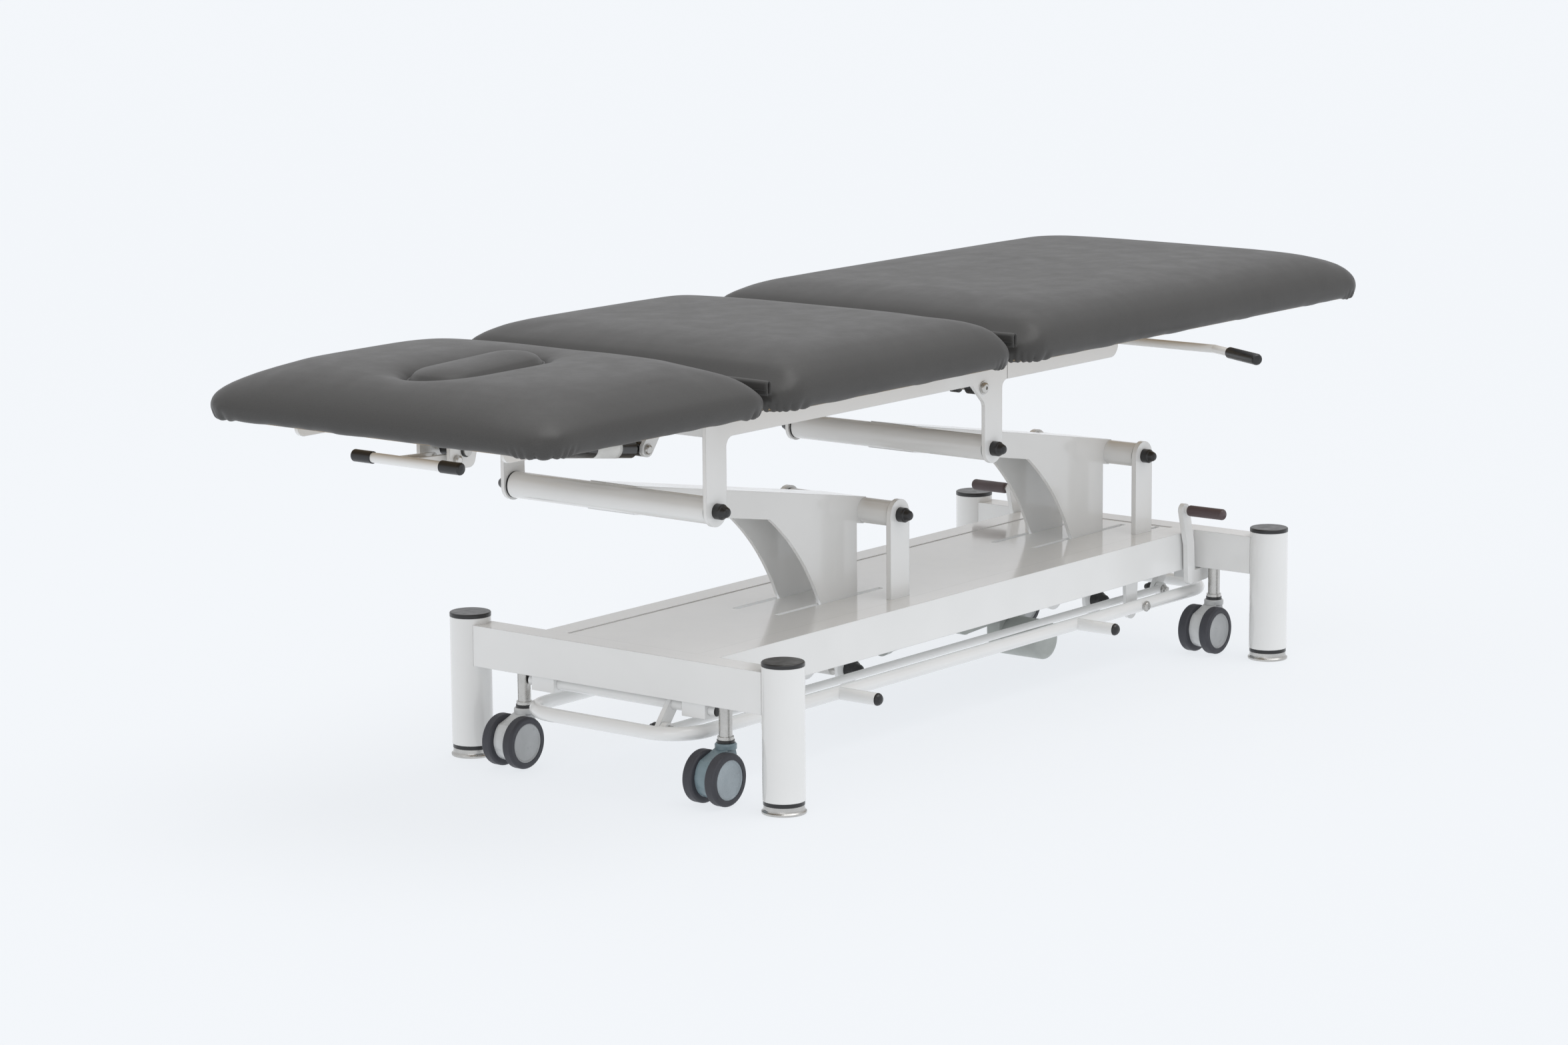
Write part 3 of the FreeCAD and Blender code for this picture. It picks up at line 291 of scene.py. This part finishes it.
# later accents of a piece cover earlier ones
accents_of = {
    "castor_stems": [(black, lambda c: 84.4 < c.z < 88.6
                      and min(abs(c.x - x) for x in CASTOR_X.values()) < 20)],
    "top_frame_bolts": [(steel, lambda c: 95 < c.x < 130 and c.z > 480)],
    "castor_shaft_head": shaft_accents("head"),
    "castor_shaft_foot": shaft_accents("foot"),
    "head_frame": [
        (steel, lambda c: bar_end(c) or pivot_end(c)),
        (black, around(*SPRING_HEAD_XZ, 9.2, 30.1, 33)),
    ],
    "top_cross_members": [
        (steel, around(*SPRING_SEAT_XZ, 8.2, 15.4, 22)),
        (steel, around(HEAD_AXIS_X, AXIS_Z, 4.2, 155.8, 170)),
        (steel, around(FOOT_AXIS_X, AXIS_Z, 4.2, 155.8, 170)),
    ],
    "arm_head_bushes": [(steel, within(36.5))],
    "arm_foot_bushes": [(steel, within(36.5))],
    "head_spring_rod": [(black, lambda c: c.x < -800 and abs(c.y) < 8.1)],
    "foot_spring_rod": [(black, lambda c: c.x > 482 and abs(c.y) < 8.1)],
}


def tread_rule(wheel_x):
    return lambda c: axis_distance(c, wheel_x, 39.0) > 28.4


for end, stem_x in CASTOR_X.items():
    for side in ("near", "far"):
        corner = f"{end}_{side}"
        blue = corner == "head_near"
        wheels, fork = f"castor_wheels_{corner}", f"castor_fork_{corner}"
        base_of[wheels] = plastics["hub_blue_grey" if blue else "castor_grey"]
        base_of[fork] = plastics["castor_blue_grey" if blue else "castor_pale"]
        accents_of[wheels] = [(plastics["charcoal_tyre"], tread_rule(stem_x - 26.0))]


def dress(node, base, accents):
    mesh = nodes[node].data
    mesh.materials.clear()
    mesh.materials.append(base)
    for index, (material, rule) in enumerate(accents, start=1):
        mesh.materials.append(material)
        for face in mesh.polygons:
            if rule(face.center * TO_MM):
                face.material_index = index


slot_of = {part["node"]: part["material_slot"] for part in frame["record"]["subparts"]}
for node in nodes:
    base = slot_materials[slot_of[node]]
    dress(node, base_of.get(node, base), accents_of.get(node, ()))


# ------------------------------------------------------------------ mesh helpers
def add_object(name, data):
    obj = bpy.data.objects.new(name, data)
    scene.collection.objects.link(obj)
    return obj


def metres(points):
    return [(x * MM, y * MM, z * MM) for x, y, z in points]


def add_mesh(name, verts, faces, material):
    """A smooth-shaded mesh object from points in metres."""
    mesh = bpy.data.meshes.new(name)
    mesh.from_pydata([tuple(v) for v in verts], [], faces)
    mesh.validate()
    obj = add_object(name, mesh)
    mesh.materials.append(material)
    bm = bmesh.new()
    bm.from_mesh(mesh)
    bmesh.ops.recalc_face_normals(bm, faces=bm.faces)
    bm.to_mesh(mesh)
    bm.free()
    for face in mesh.polygons:
        face.use_smooth = True
    return obj


def walls(rings, n):
    """Quads joining successive closed rings of n points."""
    return [(k * n + i, k * n + (i + 1) % n, (k + 1) * n + (i + 1) % n, (k + 1) * n + i)
            for k in range(rings - 1) for i in range(n)]


def caps(rings, n):
    return [tuple(range(n))[::-1], tuple(range((rings - 1) * n, rings * n))]


def assign(target, **settings):
    for key, value in settings.items():
        setattr(target, key, value)


def modify(obj, kind, **settings):
    """Adds one modifier and bakes it into the mesh."""
    assign(obj.modifiers.new(kind.lower(), kind), **settings)
    depsgraph = bpy.context.evaluated_depsgraph_get()
    mesh = bpy.data.meshes.new_from_object(obj.evaluated_get(depsgraph), depsgraph=depsgraph)
    old = obj.data
    obj.modifiers.clear()
    obj.data = mesh
    mesh.name = old.name
    for face in mesh.polygons:
        face.use_smooth = True


def coords(mesh):
    flat = np.empty(len(mesh.vertices) * 3)
    mesh.vertices.foreach_get("co", flat)
    return flat.reshape(-1, 3)


def set_coords(mesh, points):
    mesh.vertices.foreach_set("co", np.asarray(points, dtype=np.float64).ravel())
    mesh.update()


def attach(obj, body, replaces=None):
    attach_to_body(obj, body)
    if replaces:
        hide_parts(replaces)


def smoothstep(t):
    t = np.clip(t, 0, 1)
    return t * t * (3 - 2 * t)


def monotone_curve(points):
    """A smooth monotone curve through (x, y) points."""
    x, y = np.array(points, float).T
    slope = np.diff(y) / np.diff(x)
    tangent = np.empty_like(x)
    tangent[0], tangent[-1] = slope[0], slope[-1]
    for i in range(1, len(x) - 1):
        a, b = slope[i - 1], slope[i]
        tangent[i] = 0 if a * b <= 0 else 2 * a * b / (a + b)

    def curve(t):
        t = np.clip(np.asarray(t, float), x[0], x[-1])
        i = np.clip(np.searchsorted(x, t, "right") - 1, 0, len(x) - 2)
        h = x[i + 1] - x[i]
        u = (t - x[i]) / h
        return ((2 * u**3 - 3 * u**2 + 1) * y[i] + (u**3 - 2 * u**2 + u) * h * tangent[i]
                + (-2 * u**3 + 3 * u**2) * y[i + 1] + (u**3 - u**2) * h * tangent[i + 1])
    return curve


# ------------------------------------------------------------------ face hole outline
HOLE_X = -784.0
HOLE_HALF_LENGTH, HOLE_HALF_WIDTH = 113.5, 52.0   # along X and along Y


def stadium(inset, segments):
    """Points of the face hole's round-ended outline, drawn in by an inset."""
    radius = HOLE_HALF_WIDTH - inset
    reach = HOLE_HALF_LENGTH - inset - radius
    points = []
    for side, start in ((1, -90), (-1, 90)):
        for k in range(segments + 1):
            a = math.radians(start + 180 * k / segments)
            points.append((HOLE_X + side * reach + radius * math.cos(a), radius * math.sin(a)))
        x, y = points[-1]
        far_x = HOLE_X - side * reach
        points += [(x + (far_x - x) * k / 10, y) for k in range(1, 10)]
    return points


def outside_hole(x, y, inset=0.0):
    """Distance outside the outline (negative inside)."""
    dx = np.maximum(np.abs(x - HOLE_X) - (HOLE_HALF_LENGTH - HOLE_HALF_WIDTH), 0)
    return np.hypot(dx, y) - (HOLE_HALF_WIDTH - inset)


# ------------------------------------------------------------------ pads
WIDEST_Z, CROWN_Z = 575.0, 632.0
HALF_WIDTH = 315.5
PAD_END_X = 1004.5
JOINT_GAP = 4        # from a tilt axis to the pads beside it
CORNER = 50.0        # corner radius in plan
SWELL_ROOM = 2.0     # the loft starts this far inside the final outline
CROWN_ROOM = 3.0     # and this far below the final crown
MAX_SWELL = 0.0045   # metres

# distance in from the edge, height above the widest line as a share of the crown
END = monotone_curve([
    (0, 0.0), (2, 0.15), (6, 0.30), (14, 0.47), (28, 0.655), (45, 0.80), (66, 0.90),
    (95, 0.965), (140, 1.0)])
JOIN = monotone_curve([
    (0, 0.0), (3, 0.12), (10, 0.28), (20, 0.455), (30, 0.66), (40, 0.82), (56, 0.915),
    (84, 0.975), (130, 1.0)])
SIDE = monotone_curve([
    (0, 0.0), (2, 0.15), (7, 0.35), (18, 0.56), (34, 0.74), (56, 0.865), (90, 0.945),
    (140, 0.985), (220, 1.0)])
FULL = monotone_curve([
    (0, 0.0), (2, 0.19), (6, 0.42), (13, 0.61), (24, 0.79), (38, 0.90), (56, 0.955),
    (90, 0.985), (160, 1.0)])

# rings under the widest line: inset, height
UNDERSIDE = [(22.0, 562.0), (20.5, 558.2), (16.0, 556.2), (11.0, 556.4), (6.5, 558.6),
             (2.6, 563.4), (0.5, 569.5)]
# insets of the rings from the widest line to the crown
TOP_INSETS = [0, 1, 2.5, 5, 8, 12, 17, 23, 30, 38, 47, 57, 69, 83, 100, 120, 145, 175, 210,
              245, 280, 300]

# x0 and x1 are the head and foot ends; curve0, curve1 and side shape the edges
Pad = namedtuple("Pad", "name x0 x1 curve0 curve1 side voxel seed holed body node")
wide_voxel = 6.5
PADS = [
    Pad("head_pad_cover", -PAD_END_X, HEAD_AXIS_X - JOINT_GAP, END, JOIN, SIDE,
        5.5, 11, True, "head_section", "head_cushion"),
    Pad("seat_pad_cover", HEAD_AXIS_X + JOINT_GAP, FOOT_AXIS_X - JOINT_GAP, JOIN, JOIN, FULL,
        wide_voxel, 23, False, "top_frame", "seat_cushion"),
    Pad("long_pad_cover", FOOT_AXIS_X + JOINT_GAP, PAD_END_X, JOIN, END, FULL,
        wide_voxel, 37, False, "long_section", "foot_cushion"),
]


def pad_outline(pad, inset):
    """A rounded rectangle with the same number of points at every inset."""
    arc, straight = 10, 24   # divisions of a corner and of an edge
    radius = max(CORNER - inset, 4.0)
    x0, x1, half = pad.x0 + inset, pad.x1 - inset, HALF_WIDTH - inset
    corners = []
    for cx, cy, start in ((x1 - radius, -half + radius, -90), (x1 - radius, half - radius, 0),
                          (x0 + radius, half - radius, 90), (x0 + radius, -half + radius, 180)):
        for k in range(arc + 1):
            a = math.radians(start + 90 * k / arc)
            corners.append((cx + radius * math.cos(a), cy + radius * math.sin(a)))
    points = []
    for i, p in enumerate(corners):
        q = corners[(i + 1) % len(corners)]
        points.append(p)
        if (i + 1) % (arc + 1) == 0:
            points += [(p[0] + (q[0] - p[0]) * k / straight, p[1] + (q[1] - p[1]) * k / straight)
                       for k in range(1, straight)]
    return points


def crown_height(pad, x, y):
    x0, x1 = pad.x0 + SWELL_ROOM, pad.x1 - SWELL_ROOM
    dx, dy = min(x - x0, x1 - x), HALF_WIDTH - abs(y)
    share = float(pad.curve0(x - x0) * pad.curve1(x1 - x) * pad.side(dy))
    if dx < CORNER and dy < CORNER:  # the corners fall away as the straight edges do
        edge = CORNER - math.hypot(CORNER - dx, CORNER - dy)
        share *= 1 - (1 - dx / CORNER) * (1 - dy / CORNER) * math.exp(-max(edge, 0) / 7.0)
    mound = (1 - (y / HALF_WIDTH) ** 2) * (1 - ((2 * x - x0 - x1) / (x1 - x0)) ** 2)
    return WIDEST_Z + (CROWN_Z - WIDEST_Z - CROWN_ROOM) * share + 3.0 * mound


def loft_pad(pad):
    limit = min((pad.x1 - pad.x0) / 2, HALF_WIDTH) - 12
    rings = UNDERSIDE + [(0, WIDEST_Z)]
    rings += [(t, None) for t in TOP_INSETS[1:] if t + SWELL_ROOM < limit]
    points = []
    for inset, z in rings:
        ring = pad_outline(pad, SWELL_ROOM + inset)
        points += [(x, y, crown_height(pad, x, y) if z is None else z) for x, y in ring]
    faces = walls(len(rings), len(ring)) + caps(len(rings), len(ring))
    return add_mesh(pad.name, metres(points), faces, pad_vinyl)


def cut_face_hole(obj):
    ring = stadium(0.0, 14)
    points = [(x, y, z) for z in (540.0, 660.0) for x, y in ring]
    faces = caps(2, len(ring)) + walls(2, len(ring))
    cutter = add_mesh("cutter_tmp", metres(points), faces, pad_vinyl)
    modify(obj, "BOOLEAN", operation="DIFFERENCE", solver="EXACT", object=cutter)
    bpy.data.objects.remove(cutter)


def spread(mesh, shift, rounds):
    """Evens a movement out over its neighbours, so the cover swells without creasing."""
    ends = np.empty(len(mesh.edges) * 2, dtype=np.int64)
    mesh.edges.foreach_get("vertices", ends)
    a, b = ends[0::2], ends[1::2]
    n = len(shift)
    degree = np.maximum(np.bincount(a, minlength=n) + np.bincount(b, minlength=n), 1)
    for _ in range(rounds):
        total = np.stack([np.bincount(a, shift[b, k], n) + np.bincount(b, shift[a, k], n)
                          for k in range(3)], axis=1)
        shift = 0.4 * shift + 0.6 * total / degree[:, None]
    return shift


def inflate(obj, holed):
    """Swells the cover as pressurised cloth, held at its underside and at the hole."""
    start = coords(obj.data)
    pins = obj.vertex_groups.new(name="pin")
    for i, (x, y, z) in enumerate(start * TO_MM):
        weight = 1.0 if z < 566 else (0.6 if z < 571 else 0.0)
        if holed and weight == 0 and outside_hole(x, y) < 7:
            weight = 1.0
        if weight:
            pins.add([i], weight, "REPLACE")
    cloth = obj.modifiers.new("cloth", "CLOTH")
    assign(cloth.settings, quality=5, mass=0.4, tension_stiffness=30, compression_stiffness=30,
           shear_stiffness=12, bending_stiffness=2.0, use_pressure=True,
           uniform_pressure_force=4.0, vertex_group_mass="pin")
    cloth.settings.effector_weights.gravity = 0.0
    cloth.collision_settings.use_collision = False
    last_frame = 20
    assign(cloth.point_cache, frame_start=1, frame_end=last_frame)
    for f in range(1, last_frame + 1):
        scene.frame_set(f)
    depsgraph = bpy.context.evaluated_depsgraph_get()
    swollen = coords(obj.evaluated_get(depsgraph).data)
    obj.modifiers.clear()
    scene.frame_set(1)
    shift = swollen - start
    length = np.linalg.norm(shift, axis=1, keepdims=True)
    shift = np.where(length > MAX_SWELL, shift * MAX_SWELL / np.maximum(length, 1e-9), shift)
    shift[~np.isfinite(shift)] = 0
    set_coords(obj.data, start + spread(obj.data, shift, rounds=40))
    modify(obj, "SMOOTH", factor=0.5, iterations=3)


def ripple(along, lengths, phases):
    """Two products of waves, the second at half height."""
    wave = [np.sin(along / length + phase) for length, phase in zip(lengths, phases)]
    return wave[0] * wave[1] + 0.5 * wave[2] * wave[3]


def pleat(points, pad):
    """Gathers the cover where it turns under: folds at the corners, ripples on the edges."""
    rng = np.random.default_rng(pad.seed)
    x, y, z = points.T
    low = smoothstep((576.0 - z) / 14.0)
    out = points.copy()
    fold_depth = 3.4
    for sx, end_x in ((-1, pad.x0), (1, pad.x1)):
        for sy in (-1, 1):
            dx = (x - (end_x - sx * CORNER)) * sx
            dy = (y - sy * (HALF_WIDTH - CORNER)) * sy
            radius = np.hypot(dx, dy)
            angle = np.degrees(np.arctan2(dy, dx))
            # fades in and out round the corner, and in from its centre
            weight = (smoothstep((angle + 32) / 26) * smoothstep((122 - angle) / 26)
                      * smoothstep((radius - 24) / 14) * low)
            phase = rng.uniform(0, 360)
            wobble = 9 * np.sin(np.radians(angle * 3.1 + phase))
            fold = np.abs(np.sin(np.radians((angle + wobble) * 9.0 + phase))) ** 0.6
            pull = fold_depth * (1.0 - fold) * weight
            safe_radius = np.maximum(radius, 1e-6)
            out[:, 0] -= sx * dx / safe_radius * pull
            out[:, 1] -= sy * dy / safe_radius * pull
            out[:, 2] -= fold_depth * fold * weight * smoothstep((568 - z) / 10)
    p = rng.uniform(0, 6.28, 4)
    drop = 1.1
    # long sides
    weight = smoothstep((np.abs(y) - (HALF_WIDTH - 26)) / 14) * low
    wave = ripple(x, (21.0, 57.0, 9.0, 83.0), p)
    out[:, 2] -= drop * np.clip(wave, -0.4, 1) * weight
    out[:, 1] -= np.sign(y) * 0.7 * np.clip(wave, -1, 1) * weight
    # ends
    weight = smoothstep(np.maximum(pad.x0 + 26 - x, x - pad.x1 + 26) / 14) * low
    wave = ripple(y, (19.0, 61.0, 8.0, 71.0), (p[1], p[3], p[0], 0.0))
    out[:, 2] -= drop * np.clip(wave, -0.4, 1) * weight
    return out


def pucker(points):
    """Draws the cover down into the face hole, with small tucks round its rim."""
    x, y, z = points.T
    distance = outside_hole(x, y)
    top = smoothstep((z - 588) / 14)
    clear = np.clip(distance, 0, None)
    dip = 0.62 * np.exp(-clear / 9.0) + 0.38 * np.exp(-clear / 30.0)
    angle = np.arctan2(y, x - HOLE_X)
    depth = 15.0 + 4.0 * np.cos(angle - math.pi)   # deepest toward the head end
    rim = np.exp(-((distance - 5) / 7.0) ** 2)
    tuck = 0.3 * np.cos(angle * 30 + 1.3 * np.sin(angle * 5)) * rim
    out = points.copy()
    out[:, 2] -= (depth * dip + tuck) * top
    return out


def build_pad(pad):
    obj = loft_pad(pad)
    if pad.holed:
        cut_face_hole(obj)
    modify(obj, "REMESH", mode="VOXEL", voxel_size=pad.voxel * MM)
    modify(obj, "SMOOTH", factor=0.5, iterations=4)
    inflate(obj, pad.holed)
    modify(obj, "SUBSURF", levels=1)
    points = pleat(coords(obj.data) * TO_MM, pad)
    if pad.holed:
        points = pucker(points)
    # limits on how far the finished cover may stray
    points[:, 0] = np.clip(points[:, 0], pad.x0 - 1.5, pad.x1 + 1.5)
    points[:, 1] = np.clip(points[:, 1], -HALF_WIDTH - 2.5, HALF_WIDTH + 2.5)
    points[:, 2] = np.clip(points[:, 2], 551.0, CROWN_Z + 6.0)
    set_coords(obj.data, points * MM)
    obj.vertex_groups.clear()
    return obj


for obj, pad in [(build_pad(pad), pad) for pad in PADS]:
    attach(obj, pad.body, replaces=pad.node)


# ------------------------------------------------------------------ face hole plug
PLUG_GAP = 2.4
PLUG_RISE = 4.0      # rise of the top over half its length, toward the foot end
# inset, height
PLUG_RINGS = [(4, 570.5), (1, 574), (0, 590), (0, 608), (0.2, 616), (1.4, 621.6), (4.0, 626.2),
              (8, 630.0), (14, 633.2), (22, 635.6), (31, 637.0), (40, 637.7), (47, 637.9)]


def build_plug():
    points = []
    for inset, z in PLUG_RINGS:
        ring = stadium(PLUG_GAP + inset, 22)
        points += [(x, y, z) for x, y in ring]
    count = len(PLUG_RINGS)
    faces = walls(count, len(ring)) + caps(count, len(ring))
    obj = add_mesh("face_plug_cover", metres(points), faces, pad_vinyl)
    modify(obj, "REMESH", mode="VOXEL", voxel_size=0.0032)
    modify(obj, "SMOOTH", factor=0.5, iterations=3)
    modify(obj, "SUBSURF", levels=1)
    points = coords(obj.data) * TO_MM
    x, y, z = points.T
    inside = -outside_hole(x, y, PLUG_GAP)
    top = smoothstep((z - 596) / 14)
    groove = 1.0 * np.exp(-((inside - 5) / 3.0) ** 2)   # shallow dip inside the rim
    rise = PLUG_RISE * (x - HOLE_X) / (HOLE_HALF_LENGTH - PLUG_GAP)
    points[:, 2] += rise * top - groove * top
    set_coords(obj.data, points * MM)
    return obj


def sweep(name, path, radius, material, closed=True, segments=10):
    """A round cord along a path of points in millimetres."""
    path = [Vector(p) for p in path]
    n = len(path)
    verts, faces = [], []
    for i, p in enumerate(path):
        before = path[i - 1] if closed or i else p
        after = path[(i + 1) % n] if closed or i < n - 1 else p
        along = (after - before).normalized()
        across = along.cross(Vector((0, 0, 1))).normalized()
        upward = across.cross(along).normalized()
        for k in range(segments):
            a = 2 * math.pi * k / segments
            v = p + across * radius * math.cos(a) + upward * radius * math.sin(a)
            verts.append(v * MM)
    for i in range(n if closed else n - 1):
        this, following = i * segments, (i + 1) % n * segments
        for k in range(segments):
            m = (k + 1) % segments
            faces.append((this + k, following + k, following + m, this + m))
    if not closed:
        faces.append(tuple(range(segments)))
        faces.append(tuple(range((n - 1) * segments, n * segments))[::-1])
    return add_mesh(name, verts, faces, material)


def build_piping():
    path = [(x, y, 619.5 + PLUG_RISE * (x - HOLE_X) / HOLE_HALF_LENGTH)
            for x, y in stadium(2.6, 24)]
    return sweep("face_plug_piping", path, radius=1.9, material=piping_vinyl)


attach(build_plug(), "face_plug", replaces="face_plug")
attach(build_piping(), "face_plug")


# ------------------------------------------------------------------ folded gap strips
# one leg of the fold, bottom to top: distance from the tilt axis, height
FOLD_LEG = [(4.2, 581.3), (4.4, 585.0), (4.6, 591.0)]
FOLD_TOP_Z = 596.5         # centre of the rounded top
FOLD_RADII = (4.6, 5.2)    # across and up
VINYL_THICKNESS = 1.3


def gap_strip(name, axis_x, seed):
    """A sheet of vinyl folded upward into an open loop between two pads."""
    rng = np.random.default_rng(seed)
    arc = [math.pi * k / 16 for k in range(17)]
    across, rise = FOLD_RADII
    top = [(across * math.cos(a), FOLD_TOP_Z + rise * math.sin(a)) for a in arc]
    outer = FOLD_LEG + top + [(-x, z) for x, z in FOLD_LEG[::-1]]
    inner = [(x * (1 - VINYL_THICKNESS / 4.5),
              z - (0.0 if z < 592 else VINYL_THICKNESS * (z - 591) / 10.7)) for x, z in outer]
    loop = outer + inner[::-1]
    n = len(loop)
    points = []
    stations = np.linspace(-292, 292, 98)
    phase = rng.uniform(0, 6, 3)
    for y in stations:
        sway = 0.5 * math.sin(y / 37 + phase[0]) + 0.35 * math.sin(y / 14 + phase[1])
        lift = 0.5 * math.sin(y / 49 + phase[2])
        points += [(axis_x + x + sway * (z - 577) / 40, y, z + lift * (z - 577) / 30)
                   for x, z in loop]
    faces = walls(len(stations), n)
    for base, flip in ((0, False), ((len(stations) - 1) * n, True)):
        for k in range(n // 2 - 1):
            quad = (base + k, base + k + 1, base + n - 2 - k, base + n - 1 - k)
            faces.append(quad if flip else quad[::-1])
    return add_mesh(name, metres(points), faces, pad_vinyl)


def gap_seam(name, x):
    path = [(x, y, 588.5 + 0.3 * math.sin(y / 13)) for y in range(-291, 292, 6)]
    return sweep(name, path, radius=0.45, material=plastics["seam_thread"], closed=False,
                 segments=6)


for end, axis_x, joint, seed in (("head", HEAD_AXIS_X, "head_tilt", 3),
                                 ("foot", FOOT_AXIS_X, "long_section_tilt", 5)):
    strip = gap_strip(f"gap_fold_{end}", axis_x, seed)
    attach(strip, "top_frame", replaces=f"gap_strip_{end}")
    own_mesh(strip)
    for suffix, side in (("a", -1), ("b", 1)):
        seam = gap_seam(f"gap_seam_{end}_{suffix}", axis_x + side * 5.1)
        attach(seam, "top_frame")
        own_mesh(seam)


# ------------------------------------------------------------------ head gas spring label
def spring_label():
    """A thin blank band wrapped round the near side of the spring body."""
    start, stop = 52, 104      # along the spring from its seat pivot
    radius, half_angle = 14.0, 95
    rows, columns = 7, 26
    pivot, far_pivot = (Vector((x, 0, z)) for x, z in (SPRING_SEAT_XZ, SPRING_HEAD_XZ))
    along = (far_pivot - pivot).normalized()
    near = Vector((0, -1, 0))
    across = along.cross(near).normalized()
    verts, faces = [], []
    for r in (radius + 0.25, radius - 0.2):
        for i in range(rows):
            centre = pivot + along * (start + (stop - start) * i / (rows - 1))
            for j in range(columns):
                a = math.radians(-half_angle + 2 * half_angle * j / (columns - 1))
                verts.append((centre + (near * math.cos(a) + across * math.sin(a)) * r) * MM)
    n = rows * columns
    for i in range(rows - 1):
        for j in range(columns - 1):
            a = i * columns + j
            b = a + columns
            faces.append((a, a + 1, b + 1, b))
            faces.append((n + a, n + b, n + b + 1, n + a + 1))
    for i in range(rows - 1):
        for j in (0, columns - 1):
            a = i * columns + j
            faces.append((a, a + columns, n + a + columns, n + a))
    for j in range(columns - 1):
        for i in (0, rows - 1):
            a = i * columns + j
            faces.append((a, a + 1, n + a + 1, n + a))
    return add_mesh("head_spring_label", verts, faces, plastics["blank_label"])


attach(spring_label(), "head_spring_outer")


# ------------------------------------------------------------------ stage, in metres
def build_floor():
    material = bpy.data.materials.new("pale_floor")
    material.use_nodes = True
    set_inputs(material.node_tree.nodes["Principled BSDF"], {
        "Base Color": (0.14, 0.14, 0.14, 1),
        "Emission Color": (0.729, 0.754, 0.785, 1),
        "Emission Strength": 1.0,
        "Roughness": 0.9,
        "Specular IOR Level": 0.1,
    })
    half, z = 40, -0.0005
    mesh = bpy.data.meshes.new("floor")
    mesh.from_pydata([(-half, -half, z), (half, -half, z), (half, half, z), (-half, half, z)],
                     [], [(0, 1, 2, 3)])
    floor = add_object("floor", mesh)
    mesh.materials.append(material)


def light_world():
    # uses the file's world if it has one
    world = bpy.data.worlds[0] if bpy.data.worlds else bpy.data.worlds.new("studio")
    scene.world = world
    world.use_nodes = True
    set_inputs(world.node_tree.nodes["Background"],
               {"Color": (0.97, 0.98, 1.0, 1), "Strength": 0.76})


def sun_light(name, toward, energy, angle):
    light = bpy.data.lights.new(name, "SUN")
    assign(light, energy=energy, angle=angle)
    add_object(name, light).rotation_euler = Vector(toward).to_track_quat("Z", "Y").to_euler()


def area_light(name, location, target, size, energy):
    light = bpy.data.lights.new(name, "AREA")
    assign(light, shape="RECTANGLE", size=size[0], size_y=size[1], energy=energy)
    obj = add_object(name, light)
    obj.location = location
    aim = Vector(target) - Vector(location)
    obj.rotation_euler = aim.to_track_quat("-Z", "Y").to_euler()


def build_camera(location, yaw, pitch, roll):
    """Yaw is measured from +X toward +Y; angles are in radians."""
    camera = bpy.data.cameras.new("camera")
    assign(camera, sensor_width=36.0, lens=97.6507653, shift_x=0.0112329932,
           shift_y=-0.00319302721, clip_end=200)
    obj = add_object("camera", camera)
    forward = Vector((math.cos(pitch) * math.cos(yaw), math.cos(pitch) * math.sin(yaw),
                      math.sin(pitch)))
    right = Vector((math.sin(yaw), -math.cos(yaw), 0))
    up = right.cross(forward)
    rolled_right = right * math.cos(roll) + up * math.sin(roll)
    rolled_up = -right * math.sin(roll) + up * math.cos(roll)
    pose = Matrix((rolled_right, rolled_up, -forward)).transposed().to_4x4()
    pose.translation = location
    obj.matrix_world = pose
    scene.camera = obj


build_floor()
light_world()
sun_light("overhead", toward=(0.12, -0.30, 1.0), energy=1.10, angle=math.radians(50))
area_light("key_top", location=(-0.4, 0.7, 3.4), target=(0.1, 0.0, 0.5), size=(4.5, 3.0),
           energy=16)
area_light("fill_left", location=(-4.6, -2.2, 1.6), target=(-0.2, 0, 0.3), size=(2.6, 1.6),
           energy=12)
build_camera(location=(-4.9302, -3.80795, 1.43926), yaw=0.674521, pitch=-0.179663,
             roll=-0.008813)
scene.view_settings.view_transform = "Standard"
